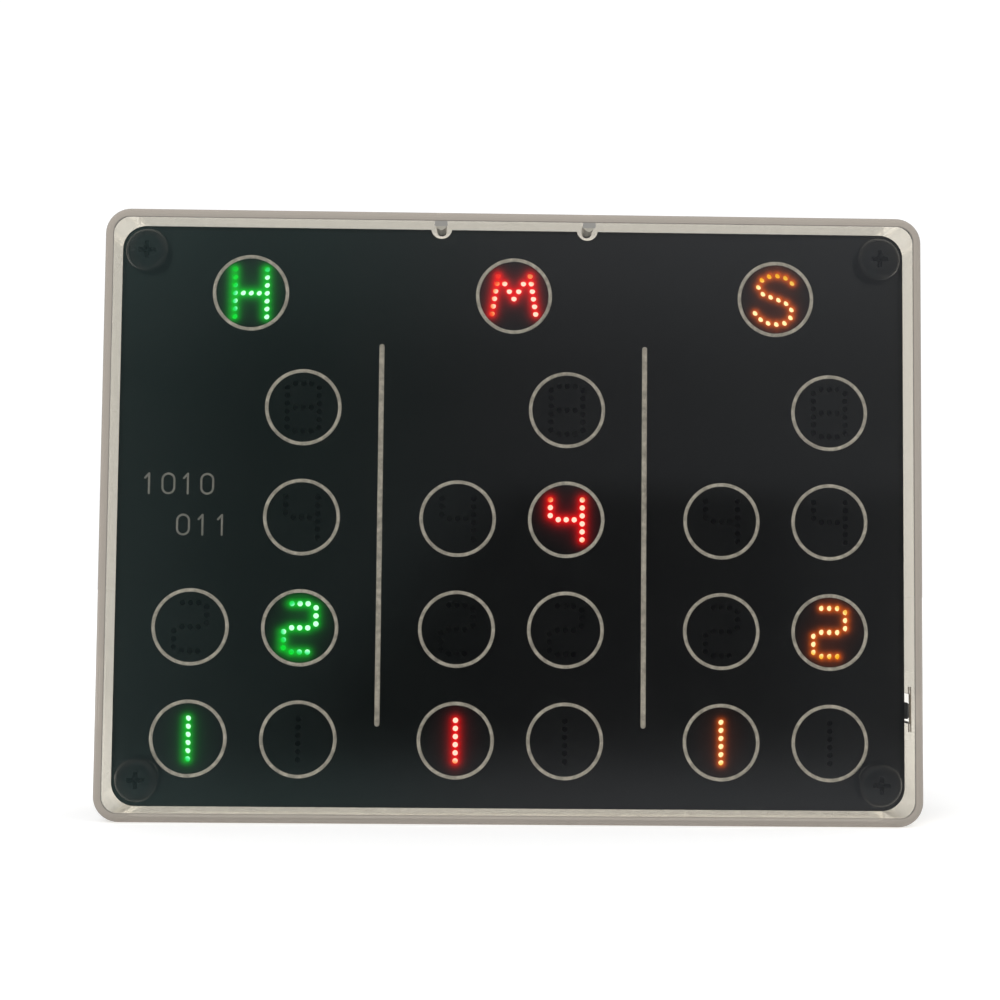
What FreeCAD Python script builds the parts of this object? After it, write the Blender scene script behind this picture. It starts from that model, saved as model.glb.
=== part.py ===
import FreeCAD, Part
import math
import os

# Binary clock in a clear two-part snap case. It stands on its long bottom side.
# X runs to the right, Y from the front to the back, and Z up. The origin is the middle of the
# bottom face. Lengths are in millimetres.

# ---------------------------------------------------------------- driving dimensions
# Display cells
COLUMN_PITCH = 13.8            # from a tens column to its units column
GROUP_PITCH = 33.6             # from hours to minutes, and minutes to seconds
ROW_PITCH = 14.0
LETTER_GAP = 14.6              # from the top row of numbers up to the H, M and S cells
TENS_ROWS = {"hours": 2, "minutes": 3, "seconds": 3}
UNITS_ROWS = 4
WELL_RADIUS = 4.4
WELL_SIDES = 12

# Circuit boards
BOARD_SIDE_MARGIN = 9.5        # from the outermost cell's middle to the board's edge
BOARD_END_MARGIN = 8.45        # the same, above and below
DISPLAY_THICKNESS = 1.0
MAIN_THICKNESS = 1.6
BOARD_CORNER_RADIUS = 3.0
BOARD_GAP = 6.5                # between the two boards, set by the spacers
BOARD_EDGE_GAP = 0.6           # from a board's edge to the case wall

# Clear case
BACK_ROOM = 9.4                # from the main board to the back wall
WALL = 1.0
WINDOW_THICKNESS = 1.5
BACK_THICKNESS = 1.6
CASE_CORNER_RADIUS = 3.2
CASE_EDGE_RADIUS = 1.0
LIP_HEIGHT = 1.8
LIP_THICKNESS = 0.8
LIP_ROOT = 1.6
LIP_CLEARANCE = 0.12
LIP_BEHIND_BOARD = 1.1         # from the main board's back face to the lip's front edge
PARTING_CHAMFER = 0.25

# Key ribs inside the cover's top wall, and the board notches that clear them
KEY_SPACING = 18.7
KEY_WIDTH = 1.3
KEY_REACH = 0.55               # past the display board's top edge
KEY_PAST_BOARD = 0.3           # behind the display board
NOTCH_RADIUS = 1.35
NOTCH_RISE = 0.2               # from the board's top edge up to the notch's middle

# Screws, inserts and spacers at the board corners
SCREW_INSET = 3.45             # from both edges of the board
SCREW_SHANK_RADIUS = 1.45
SCREW_LENGTH = 16.0
SCREW_HEAD_RADIUS = 2.8
SCREW_HEAD_HEIGHT = 2.0
SCREW_HEAD_BEVEL = 0.8
SCREW_HEAD_CLEARANCE = 0.4     # from the head to the window
SCREW_RECESS_WIDTH = 0.75
SCREW_RECESS_LENGTH = 2.9
SCREW_RECESS_DEPTH = 1.3
SCREW_HOLE_RADIUS = 1.6
SPACER_RADIUS = 2.75           # to a corner of its hexagon
INSERT_RADIUS = 2.1
INSERT_BORE_RADIUS = 1.5
INSERT_LENGTH = 5.0
INSERT_CLEARANCE = 0.03
BOSS_WALL = 1.1
GUSSET_THICKNESS = 1.2

# Light baffle
BAFFLE_RIM = 0.9               # past the outermost wells
BAFFLE_CORNER_RADIUS = 2.0
BAFFLE_CLEARANCE = 0.3         # to the spacers and the slide switch

# Light-emitting diodes
LED_WIDTH = 3.5
LED_HEIGHT = 2.8
LED_DEPTH = 1.9
LED_DRAFT = 0.2

# Slide switch on the right edge
SWITCH_LEVER_REST_Z = 13.8     # middle of the lever above the bottom face
SWITCH_TRAVEL = 1.3
SWITCH_LEVER_WIDTH = 2.1
SWITCH_LEVER_THICKNESS = 1.4
SWITCH_LEVER_PROUD = 0.5       # past the case wall
SWITCH_LENGTH = 8.6
SWITCH_WIDTH = 3.7
SWITCH_HEIGHT = 3.5
SWITCH_SKIN = 0.4
SWITCH_CLEARANCE = 0.15
SLOT_MARGIN = 0.2              # case slot past the lever at each end of its travel
SLOT_START_BEHIND_BOARD = 0.2  # slot's front end behind the display board's front face

# Set buttons, pressed from the back. Rises are above the boards' middle.
BUTTON_MIDDLE_X = 24.0
BUTTON_PITCH = 12.0
BUTTON_RISE = 23.6
BUTTON_RADIUS = 1.72
BUTTON_HOLE_CLEARANCE = 0.33   # to the back wall's hole
BUTTON_RECESS = 0.4            # below the back face
BUTTON_TRAVEL = 0.25
BUTTON_SEAT_DEPTH = 1.3        # plunger inside its housing
BUTTON_CLEARANCE = 0.08
BUTTON_HOUSING = 6.0
BUTTON_HOUSING_HEIGHT = 3.5

# Power inlet on the left edge
INLET_Z = 15.0
INLET_WIDTH = 8.94
INLET_THICKNESS = 3.2
INLET_LENGTH = 7.3
INLET_SKIN = 0.3
INLET_RECESS = 0.2             # mouth inside the outer face of the case
INLET_TONGUE_WIDTH = 6.7
INLET_TONGUE_THICKNESS = 0.7
INLET_TONGUE_LENGTH = 4.6
INLET_OPENING_MARGIN = 0.4

# Coin cell and its holder
CELL_X = -22.0
CELL_RISE = 13.6
CELL_RADIUS = 10.0
CELL_THICKNESS = 3.2
CELL_CLEARANCE = 0.2
HOLDER_WALL = 1.2
HOLDER_FLOOR = 0.8
CLIP_WIDTH = 5.0
CLIP_THICKNESS = 0.3

# Chips and small parts on the back of the main board
LEAD_THICKNESS = 0.2
LEAD_REACH = 1.0
CHIP_STANDOFF = 0.15
CONTROLLER_END = 0.7           # from the last lead's middle to the body's corner
CONTROLLER_HEIGHT = 1.2
CONTROLLER_X = 6.0
CONTROLLER_RISE = 2.6
CONTROLLER_LEADS = 8
CONTROLLER_LEAD_PITCH = 0.8
CONTROLLER_LEAD_WIDTH = 0.35
SMALL_CHIP_END = 0.5           # from the last lead's middle to the body's end
SMALL_CHIP_WIDTH = 3.9
SMALL_CHIP_HEIGHT = 1.5
SMALL_CHIP_LEADS = 8
SMALL_CHIP_LEAD_PITCH = 1.27
SMALL_CHIP_LEAD_WIDTH = 0.42
CLOCK_CHIP_X = -20.0
CLOCK_CHIP_RISE = -7.4
DRIVER_MIDDLE_X = 4.0
DRIVER_PITCH = 24.0
DRIVER_RISE = -24.9
CRYSTAL_X = 6.0
CRYSTAL_RISE = -8.4
CRYSTAL_LENGTH = 11.2
CRYSTAL_WIDTH = 4.7
CRYSTAL_HEIGHT = 3.6
CAPACITOR_X = -38.0
CAPACITOR_RISE = -12.4
CAPACITOR_RADIUS = 3.15
CAPACITOR_HEIGHT = 5.4
CAPACITOR_BASE = 1.0
RESISTOR_COUNT = 8
RESISTOR_PITCH = 2.4
RESISTOR_X = 28.0
RESISTOR_RISE = -16.4
RESISTOR_LENGTH = 2.0
RESISTOR_WIDTH = 1.25
RESISTOR_HEIGHT = 0.5

# ---------------------------------------------------------------- worked-out places
LETTER_ROW_RISE = (UNITS_ROWS - 1) * ROW_PITCH + LETTER_GAP
BOARD_WIDTH = 2 * (GROUP_PITCH + COLUMN_PITCH / 2 + BOARD_SIDE_MARGIN)
BOARD_HEIGHT = LETTER_ROW_RISE + 2 * BOARD_END_MARGIN
CASE_WIDTH = BOARD_WIDTH + 2 * (BOARD_EDGE_GAP + WALL)
CASE_HEIGHT = BOARD_HEIGHT + 2 * (BOARD_EDGE_GAP + WALL)
MIDDLE_Z = CASE_HEIGHT / 2
SIDE_X = CASE_WIDTH / 2

FRONT_ROOM = SCREW_HEAD_HEIGHT + SCREW_HEAD_CLEARANCE
BOARD_STACK = DISPLAY_THICKNESS + BOARD_GAP + MAIN_THICKNESS
CASE_DEPTH = WINDOW_THICKNESS + FRONT_ROOM + BOARD_STACK + BACK_ROOM + BACK_THICKNESS

FRONT_Y = -CASE_DEPTH / 2
BACK_Y = CASE_DEPTH / 2
WINDOW_BACK_Y = FRONT_Y + WINDOW_THICKNESS
BACK_WALL_Y = BACK_Y - BACK_THICKNESS

DISPLAY_FRONT_Y = WINDOW_BACK_Y + FRONT_ROOM
DISPLAY_BACK_Y = DISPLAY_FRONT_Y + DISPLAY_THICKNESS
MAIN_FRONT_Y = DISPLAY_BACK_Y + BOARD_GAP
MAIN_BACK_Y = MAIN_FRONT_Y + MAIN_THICKNESS
PARTING_Y = MAIN_BACK_Y + LIP_BEHIND_BOARD + LIP_HEIGHT

SCREW_X = BOARD_WIDTH / 2 - SCREW_INSET
SCREW_Z = BOARD_HEIGHT / 2 - SCREW_INSET

BUTTON_XS = [BUTTON_MIDDLE_X + step * BUTTON_PITCH for step in (-1, 0, 1)]
BUTTON_Z = MIDDLE_Z + BUTTON_RISE
CELL_Z = MIDDLE_Z + CELL_RISE

BACKWARD = FreeCAD.Vector(0, 1, 0)
TINY = 0.01


# ---------------------------------------------------------------- shape helpers
def vector(x, y, z):
    return FreeCAD.Vector(x, y, z)


def block(x_range, y_range, z_range):
    size = [high - low for low, high in (x_range, y_range, z_range)]
    return Part.makeBox(*size, vector(x_range[0], y_range[0], z_range[0]))


def centred_block(x, z, width, height, y_range):
    return block((x - width / 2, x + width / 2), y_range, (z - height / 2, z + height / 2))


def rod(x, z, y_range, radius):
    length = y_range[1] - y_range[0]
    return Part.makeCylinder(radius, length, vector(x, y_range[0], z), BACKWARD)


def many_sided_rod(x, z, y_range, radius, sides):
    """A prism along Y with its corners on a circle."""
    points = []
    for index in range(sides + 1):
        angle = 2 * math.pi * index / sides
        across = vector(radius * math.cos(angle), 0, radius * math.sin(angle))
        points.append(vector(x, y_range[0], z) + across)
    return Part.Face(Part.makePolygon(points)).extrude(vector(0, y_range[1] - y_range[0], 0))


def rounded_outline(width, height, y, radius):
    """A rectangle with round corners in a plane of constant Y, round the case's middle."""
    half_w = width / 2
    half_h = height / 2
    bend = radius * (1 - math.sqrt(0.5))

    def at(x, z):
        return vector(x, y, MIDDLE_Z + z)

    edges = []
    for sign_x, sign_z in ((1, 1), (1, -1), (-1, -1), (-1, 1)):
        upright_end = at(sign_x * half_w, sign_z * (half_h - radius))
        level_end = at(sign_x * (half_w - radius), sign_z * half_h)
        middle = at(sign_x * (half_w - bend), sign_z * (half_h - bend))
        edges.append(Part.Arc(upright_end, middle, level_end).toShape())
    for sign in (1, -1):
        edges.append(Part.makeLine(at(sign * half_w, half_h - radius), at(sign * half_w, radius - half_h)))
        edges.append(Part.makeLine(at(half_w - radius, sign * half_h), at(radius - half_w, sign * half_h)))
    return Part.Wire(Part.__sortEdges__(edges))


def rounded_slab(width, height, y_range, radius):
    face = Part.Face(rounded_outline(width, height, y_range[0], radius))
    return face.extrude(vector(0, y_range[1] - y_range[0], 0))


def edges_at_y(shape, y):
    return [
        edge for edge in shape.Edges
        if abs(edge.BoundBox.YMin - y) < TINY and abs(edge.BoundBox.YMax - y) < TINY
    ]


def stadium_bar(x_range, y, z, width, thickness):
    """A bar along X whose section, width along Z and thickness along Y, has round ends."""
    length = x_range[1] - x_range[0]
    radius = thickness / 2
    straight = width / 2 - radius
    bar = block(x_range, (y - radius, y + radius), (z - straight, z + straight))
    for sign in (1, -1):
        centre = vector(x_range[0], y, z + sign * straight)
        bar = bar.fuse(Part.makeCylinder(radius, length, centre, vector(1, 0, 0)))
    return bar.removeSplitter()


def corner_places():
    return [(sx * SCREW_X, MIDDLE_Z + sz * SCREW_Z) for sx in (-1, 1) for sz in (-1, 1)]


# ---------------------------------------------------------------- display layout
def cell_places():
    """Every display cell as (group, x, z). The groups are hours, minutes and seconds."""
    bottom_z = MIDDLE_Z - LETTER_ROW_RISE / 2
    cells = []
    for index, group in enumerate(TENS_ROWS):
        middle_x = (index - 1) * GROUP_PITCH
        cells.append((group, middle_x, bottom_z + LETTER_ROW_RISE))
        for side, rows in ((-1, TENS_ROWS[group]), (1, UNITS_ROWS)):
            for row in range(rows):
                cells.append((group, middle_x + side * COLUMN_PITCH / 2, bottom_z + row * ROW_PITCH))
    return cells


# ---------------------------------------------------------------- clear case
def lever_slot():
    """The slot in the cover's right wall, open at the parting line so the cover can lift off."""
    reach = SWITCH_LEVER_WIDTH / 2 + SLOT_MARGIN
    return block(
        (SIDE_X - 2 * WALL, SIDE_X + WALL),
        (DISPLAY_FRONT_Y + SLOT_START_BEHIND_BOARD, PARTING_Y + TINY),
        (SWITCH_LEVER_REST_Z - reach, SWITCH_LEVER_REST_Z + SWITCH_TRAVEL + reach),
    )


def inlet_opening():
    """The opening for the power plug in the left wall, shared by the cover and the rear case."""
    margin = 2 * INLET_OPENING_MARGIN
    return stadium_bar(
        (-SIDE_X - WALL, LIP_THICKNESS + 2 * WALL - SIDE_X),
        MAIN_BACK_Y + INLET_THICKNESS / 2,
        INLET_Z,
        INLET_WIDTH + margin,
        INLET_THICKNESS + margin,
    )


def inlet_way_out():
    """Opens the inlet's hole in the cover to the parting line, so the cover clears the inlet."""
    half = INLET_WIDTH / 2 + INLET_OPENING_MARGIN
    return block(
        (-SIDE_X - WALL, LIP_THICKNESS + 2 * WALL - SIDE_X),
        (MAIN_BACK_Y + INLET_THICKNESS / 2, PARTING_Y + TINY),
        (INLET_Z - half, INLET_Z + half),
    )


def inside_slab(y_range, inset):
    """What fits in the case's walls, with a gap of inset all round."""
    room = 2 * (WALL + inset)
    return rounded_slab(CASE_WIDTH - room, CASE_HEIGHT - room, y_range, CASE_CORNER_RADIUS - room / 2)


def key_rib(x):
    """A rib with a round tip that hangs from the cover's top wall into a board notch."""
    wall_z = CASE_HEIGHT - WALL
    tip_z = wall_z - BOARD_EDGE_GAP - KEY_REACH
    y_range = (WINDOW_BACK_Y - TINY, DISPLAY_BACK_Y + KEY_PAST_BOARD)
    radius = KEY_WIDTH / 2
    web = block((x - radius, x + radius), y_range, (tip_z + radius, wall_z + WALL / 2))
    return web.fuse(rod(x, tip_z + radius, y_range, radius))


def make_front_cover():
    outer = rounded_slab(CASE_WIDTH, CASE_HEIGHT, (FRONT_Y, PARTING_Y), CASE_CORNER_RADIUS)
    outer = outer.makeFillet(CASE_EDGE_RADIUS, edges_at_y(outer, FRONT_Y))
    outer = outer.makeChamfer(PARTING_CHAMFER, edges_at_y(outer, PARTING_Y))
    cover = outer.cut(inside_slab((WINDOW_BACK_Y, PARTING_Y + WALL), 0))
    for side in (-1, 1):
        cover = cover.fuse(key_rib(side * KEY_SPACING / 2))
    cover = cover.cut(lever_slot()).cut(inlet_opening()).cut(inlet_way_out())
    return cover.removeSplitter()


def lip_ring():
    """The lip that fits inside the cover, on a root that joins it to the rear case's wall."""
    lip_start = PARTING_Y - LIP_HEIGHT
    root_end = PARTING_Y + LIP_ROOT
    lip = inside_slab((lip_start, root_end), LIP_CLEARANCE)
    lip = lip.makeChamfer(PARTING_CHAMFER, edges_at_y(lip, lip_start))
    root = inside_slab((PARTING_Y, root_end), -WALL / 2)
    opening = inside_slab((lip_start - WALL, root_end + WALL), LIP_CLEARANCE + LIP_THICKNESS)
    return lip.fuse(root).cut(opening)


def screw_boss(x, z):
    """A post behind a board corner, tied to the two nearest walls by gussets."""
    y_range = (MAIN_BACK_Y, BACK_Y - BACK_THICKNESS / 2)
    gusset_range = (PARTING_Y + LIP_ROOT, y_range[1])
    boss = rod(x, z, y_range, INSERT_RADIUS + BOSS_WALL).common(inside_slab(y_range, LIP_CLEARANCE))
    out_x = math.copysign(SIDE_X - WALL / 2, x)
    out_z = CASE_HEIGHT - WALL / 2 if z > MIDDLE_Z else WALL / 2
    half = GUSSET_THICKNESS / 2
    boss = boss.fuse(block(sorted((x, out_x)), gusset_range, (z - half, z + half)))
    return boss.fuse(block((x - half, x + half), gusset_range, sorted((z, out_z))))


def make_rear_case():
    outer = rounded_slab(CASE_WIDTH, CASE_HEIGHT, (PARTING_Y, BACK_Y), CASE_CORNER_RADIUS)
    outer = outer.makeFillet(CASE_EDGE_RADIUS, edges_at_y(outer, BACK_Y))
    outer = outer.makeChamfer(PARTING_CHAMFER, edges_at_y(outer, PARTING_Y))
    case = outer.cut(inside_slab((PARTING_Y - WALL, BACK_WALL_Y), 0)).fuse(lip_ring())
    for x, z in corner_places():
        case = case.fuse(screw_boss(x, z))
    screw_end = DISPLAY_FRONT_Y + SCREW_LENGTH + SCREW_HEAD_CLEARANCE
    for x, z in corner_places():
        case = case.cut(rod(x, z, (MAIN_BACK_Y - WALL, screw_end), INSERT_RADIUS))
    button_hole = BUTTON_RADIUS + BUTTON_HOLE_CLEARANCE
    for x in BUTTON_XS:
        case = case.cut(rod(x, BUTTON_Z, (BACK_WALL_Y - WALL, BACK_Y + WALL), button_hole))
    return case.cut(inlet_opening()).removeSplitter()


# ---------------------------------------------------------------- boards, baffle and fasteners
def board(y_range):
    slab = rounded_slab(BOARD_WIDTH, BOARD_HEIGHT, y_range, BOARD_CORNER_RADIUS)
    for x, z in corner_places():
        slab = slab.cut(rod(x, z, (y_range[0] - WALL, y_range[1] + WALL), SCREW_HOLE_RADIUS))
    return slab


def make_display_board():
    y_range = (DISPLAY_FRONT_Y, DISPLAY_BACK_Y)
    panel = board(y_range)
    top_z = MIDDLE_Z + BOARD_HEIGHT / 2
    for side in (-1, 1):
        notch_z = top_z + NOTCH_RISE
        notch = rod(side * KEY_SPACING / 2, notch_z, (y_range[0] - WALL, y_range[1] + WALL), NOTCH_RADIUS)
        panel = panel.cut(notch)
    return panel


def make_main_board():
    return board((MAIN_FRONT_Y, MAIN_BACK_Y))


def light_well(x, z, y_range):
    """A many-sided well, nearly round, along Y."""
    return many_sided_rod(x, z, y_range, WELL_RADIUS, WELL_SIDES)


def switch_pocket():
    """The room that the baffle leaves for the slide switch on the board's right edge."""
    return centred_block(
        BOARD_WIDTH / 2,
        switch_middle_z(),
        2 * (SWITCH_WIDTH + BAFFLE_CLEARANCE),
        SWITCH_LENGTH + 2 * BAFFLE_CLEARANCE,
        (MAIN_FRONT_Y - SWITCH_HEIGHT - BAFFLE_CLEARANCE, MAIN_FRONT_Y + WALL),
    )


def make_light_baffle():
    """A black block between the boards with one light well behind each cell."""
    y_range = (DISPLAY_BACK_Y, MAIN_FRONT_Y)
    past = (y_range[0] - WALL, y_range[1] + WALL)
    reach = 2 * (WELL_RADIUS + BAFFLE_RIM)
    width = 2 * GROUP_PITCH + COLUMN_PITCH + reach
    baffle = rounded_slab(width, LETTER_ROW_RISE + reach, y_range, BAFFLE_CORNER_RADIUS)
    wells = [light_well(x, z, past) for _, x, z in cell_places()]
    corners = [rod(x, z, past, SPACER_RADIUS + BAFFLE_CLEARANCE) for x, z in corner_places()]
    return baffle.cut(wells + corners).cut(switch_pocket())


def screw_head_profile():
    """Half of a pan-head screw as a closed outline, axis at X = 0, under-head plane at Y = 0."""
    tip_taper = SCREW_SHANK_RADIUS * 0.35
    crown = vector(0, -SCREW_HEAD_HEIGHT, 0)
    outline = [
        crown,
        vector(SCREW_HEAD_RADIUS - SCREW_HEAD_BEVEL, -SCREW_HEAD_HEIGHT, 0),
        vector(SCREW_HEAD_RADIUS, SCREW_HEAD_BEVEL - SCREW_HEAD_HEIGHT, 0),
        vector(SCREW_HEAD_RADIUS, 0, 0),
        vector(SCREW_SHANK_RADIUS, 0, 0),
        vector(SCREW_SHANK_RADIUS, SCREW_LENGTH - tip_taper, 0),
        vector(SCREW_SHANK_RADIUS - tip_taper, SCREW_LENGTH, 0),
        vector(0, SCREW_LENGTH, 0),
        crown,
    ]
    return Part.Face(Part.makePolygon(outline))


def cross_recess():
    """A tapered Phillips cross, cut into the head from its crown."""
    def wing(along_x):
        def outline(y, length, width):
            half_x, half_z = (length / 2, width / 2) if along_x else (width / 2, length / 2)
            signs = ((1, 1), (1, -1), (-1, -1), (-1, 1), (1, 1))
            return Part.makePolygon([vector(sx * half_x, y, sz * half_z) for sx, sz in signs])

        top = outline(-SCREW_HEAD_HEIGHT - TINY, SCREW_RECESS_LENGTH, SCREW_RECESS_WIDTH)
        floor = outline(
            SCREW_RECESS_DEPTH - SCREW_HEAD_HEIGHT,
            SCREW_RECESS_LENGTH * 0.45,
            SCREW_RECESS_WIDTH * 0.7,
        )
        return Part.makeLoft([top, floor], True, True)

    return wing(True).fuse(wing(False))


def make_screws():
    screw = screw_head_profile().revolve(vector(0, 0, 0), BACKWARD, 360).cut(cross_recess())
    screws = []
    for x, z in corner_places():
        copy = screw.copy()
        copy.translate(vector(x, DISPLAY_FRONT_Y, z))
        screws.append(copy)
    return Part.makeCompound(screws)


def sleeve(x, z, y_range, outer_radius, inner_radius):
    return rod(x, z, y_range, outer_radius).cut(rod(x, z, y_range, inner_radius))


def spacer(x, z, y_range):
    """A hexagonal spacer with a plain bore."""
    return many_sided_rod(x, z, y_range, SPACER_RADIUS, 6).cut(rod(x, z, y_range, SCREW_HOLE_RADIUS))


def make_spacers():
    y_range = (DISPLAY_BACK_Y, MAIN_FRONT_Y)
    return Part.makeCompound([spacer(x, z, y_range) for x, z in corner_places()])


def make_threaded_inserts():
    y_range = (MAIN_BACK_Y, MAIN_BACK_Y + INSERT_LENGTH)
    radius = INSERT_RADIUS - INSERT_CLEARANCE
    return Part.makeCompound(
        [sleeve(x, z, y_range, radius, INSERT_BORE_RADIUS) for x, z in corner_places()]
    )


# ---------------------------------------------------------------- light-emitting diodes
def led(x, z):
    """A surface-mount diode with drafted sides, seated on the main board's front face."""
    def outline(y, inset):
        half_w = LED_WIDTH / 2 - inset
        half_h = LED_HEIGHT / 2 - inset
        signs = ((1, 1), (1, -1), (-1, -1), (-1, 1), (1, 1))
        return Part.makePolygon([vector(x + sx * half_w, y, z + sz * half_h) for sx, sz in signs])

    return Part.makeLoft([outline(MAIN_FRONT_Y, 0), outline(MAIN_FRONT_Y - LED_DEPTH, LED_DRAFT)], True, True)


def make_leds(group):
    return Part.makeCompound([led(x, z) for name, x, z in cell_places() if name == group])


# ---------------------------------------------------------------- slide switch
def switch_middle_z():
    return SWITCH_LEVER_REST_Z + SWITCH_TRAVEL / 2


def switch_middle_y():
    return MAIN_FRONT_Y - SWITCH_HEIGHT / 2


def carriage_length():
    return SWITCH_LEVER_WIDTH + 2 * SWITCH_SKIN


def make_slide_switch_body():
    """A metal can on the board's right edge, hollow for the lever's carriage."""
    edge_x = BOARD_WIDTH / 2
    z = switch_middle_z()
    y = switch_middle_y()
    half_length = SWITCH_LENGTH / 2
    shell = block(
        (edge_x - SWITCH_WIDTH, edge_x),
        (MAIN_FRONT_Y - SWITCH_HEIGHT, MAIN_FRONT_Y),
        (z - half_length, z + half_length),
    )
    half_room = (carriage_length() + SWITCH_TRAVEL) / 2 + SWITCH_CLEARANCE
    half_depth = SWITCH_HEIGHT / 2 - SWITCH_SKIN
    room = block(
        (edge_x - SWITCH_WIDTH + SWITCH_SKIN, edge_x - SWITCH_SKIN),
        (y - half_depth, y + half_depth),
        (z - half_room, z + half_room),
    )
    half_slot = (SWITCH_LEVER_WIDTH + SWITCH_TRAVEL) / 2 + SWITCH_CLEARANCE
    half_gap = SWITCH_LEVER_THICKNESS / 2 + SWITCH_CLEARANCE
    slot = block(
        (edge_x - SWITCH_WIDTH / 2, edge_x + WALL),
        (y - half_gap, y + half_gap),
        (z - half_slot, z + half_slot),
    )
    return shell.cut(room).cut(slot)


def make_slide_switch_lever():
    edge_x = BOARD_WIDTH / 2
    z = SWITCH_LEVER_REST_Z
    y = switch_middle_y()
    half_width = SWITCH_LEVER_WIDTH / 2
    half_thick = SWITCH_LEVER_THICKNESS / 2
    half_carriage = carriage_length() / 2
    half_depth = SWITCH_HEIGHT / 2 - SWITCH_SKIN - SWITCH_CLEARANCE
    carriage = block(
        (edge_x - SWITCH_WIDTH + SWITCH_SKIN + SWITCH_CLEARANCE, edge_x - SWITCH_SKIN - SWITCH_CLEARANCE),
        (y - half_depth, y + half_depth),
        (z - half_carriage, z + half_carriage),
    )
    knob = block(
        (edge_x - SWITCH_WIDTH / 2, SIDE_X + SWITCH_LEVER_PROUD),
        (y - half_thick, y + half_thick),
        (z - half_width, z + half_width),
    )
    tip_edges = [edge for edge in knob.Edges if edge.BoundBox.XMin > SIDE_X]
    knob = knob.makeChamfer(SWITCH_LEVER_THICKNESS / 6, tip_edges)
    return carriage.fuse(knob).removeSplitter()


# ---------------------------------------------------------------- set buttons
def make_button_housings():
    """The three key housings on the board, each bored for its plunger."""
    top_y = MAIN_BACK_Y + BUTTON_HOUSING_HEIGHT
    bore_start = top_y - BUTTON_SEAT_DEPTH - 2 * BUTTON_TRAVEL
    housings = []
    for x in BUTTON_XS:
        body = centred_block(x, BUTTON_Z, BUTTON_HOUSING, BUTTON_HOUSING, (MAIN_BACK_Y, top_y))
        bore = rod(x, BUTTON_Z, (bore_start, top_y + WALL), BUTTON_RADIUS + BUTTON_CLEARANCE)
        housings.append(body.makeChamfer(SWITCH_SKIN, edges_at_y(body, top_y)).cut(bore))
    return Part.makeCompound(housings)


def make_button(x):
    """A plunger from its housing to just under the back face."""
    seat_y = MAIN_BACK_Y + BUTTON_HOUSING_HEIGHT - BUTTON_SEAT_DEPTH
    tip_y = BACK_Y - BUTTON_RECESS
    plunger = rod(x, BUTTON_Z, (seat_y, tip_y), BUTTON_RADIUS)
    return plunger.makeChamfer(BUTTON_RADIUS / 6, edges_at_y(plunger, tip_y))


# ---------------------------------------------------------------- power inlet
def inlet_x_range():
    mouth = INLET_RECESS - SIDE_X
    return (mouth, mouth + INLET_LENGTH)


def inlet_y():
    return MAIN_BACK_Y + INLET_THICKNESS / 2


def make_inlet_shell():
    x_range = inlet_x_range()
    skin = 2 * INLET_SKIN
    outer = stadium_bar(x_range, inlet_y(), INLET_Z, INLET_WIDTH, INLET_THICKNESS)
    bore = stadium_bar(
        (x_range[0] - WALL, x_range[1] + WALL),
        inlet_y(),
        INLET_Z,
        INLET_WIDTH - skin,
        INLET_THICKNESS - skin,
    )
    return outer.cut(bore)


def make_inlet_tongue():
    """The contact tongue and the plug that closes the shell's inner end."""
    x_range = inlet_x_range()
    skin = 2 * INLET_SKIN + 2 * INSERT_CLEARANCE
    root_x = x_range[1] - (INLET_LENGTH - INLET_TONGUE_LENGTH) / 2
    root = stadium_bar(
        (root_x, x_range[1]),
        inlet_y(),
        INLET_Z,
        INLET_WIDTH - skin,
        INLET_THICKNESS - skin,
    )
    half_thick = INLET_TONGUE_THICKNESS / 2
    half_width = INLET_TONGUE_WIDTH / 2
    tongue = block(
        (root_x - INLET_TONGUE_LENGTH, root_x + INLET_SKIN),
        (inlet_y() - half_thick, inlet_y() + half_thick),
        (INLET_Z - half_width, INLET_Z + half_width),
    )
    return root.fuse(tongue)


# ---------------------------------------------------------------- coin cell
def cell_seat_y():
    return MAIN_BACK_Y + HOLDER_FLOOR


def make_coin_cell():
    """A round cell: a wide can with a smaller cap that faces the board."""
    cap_height = CELL_THICKNESS / 4
    y = cell_seat_y()
    cap = rod(CELL_X, CELL_Z, (y, y + cap_height), CELL_RADIUS * 0.88)
    can = rod(CELL_X, CELL_Z, (y + cap_height, y + CELL_THICKNESS), CELL_RADIUS)
    return cap.fuse(can)


def make_coin_cell_holder():
    """A cup round the cell, with a gap at its top for sliding the cell out."""
    y_range = (MAIN_BACK_Y, cell_seat_y() + CELL_THICKNESS)
    room = CELL_RADIUS + CELL_CLEARANCE
    cup = rod(CELL_X, CELL_Z, y_range, room + HOLDER_WALL)
    cup = cup.cut(rod(CELL_X, CELL_Z, (cell_seat_y(), y_range[1] + WALL), room))
    mouth = block(
        (CELL_X - room * 0.75, CELL_X + room * 0.75),
        (cell_seat_y(), y_range[1] + WALL),
        (CELL_Z, CELL_Z + 2 * room),
    )
    hole = rod(CELL_X, CELL_Z, (y_range[0] - WALL, cell_seat_y() + WALL), room / 2)
    return cup.cut(mouth).cut(hole)


def make_coin_cell_clip():
    """A spring strip over the cell, with a leg down to the board on each side."""
    over_y = cell_seat_y() + CELL_THICKNESS
    outside = CELL_RADIUS + CELL_CLEARANCE + HOLDER_WALL + BUTTON_CLEARANCE
    bridge = centred_block(
        CELL_X, CELL_Z, 2 * (outside + CLIP_THICKNESS), CLIP_WIDTH, (over_y, over_y + CLIP_THICKNESS)
    )
    clip = bridge
    for side in (-1, 1):
        leg_x = CELL_X + side * (outside + CLIP_THICKNESS / 2)
        leg = centred_block(leg_x, CELL_Z, CLIP_THICKNESS, CLIP_WIDTH, (MAIN_BACK_Y, over_y + CLIP_THICKNESS))
        clip = clip.fuse(leg)
    return clip.removeSplitter()


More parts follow.
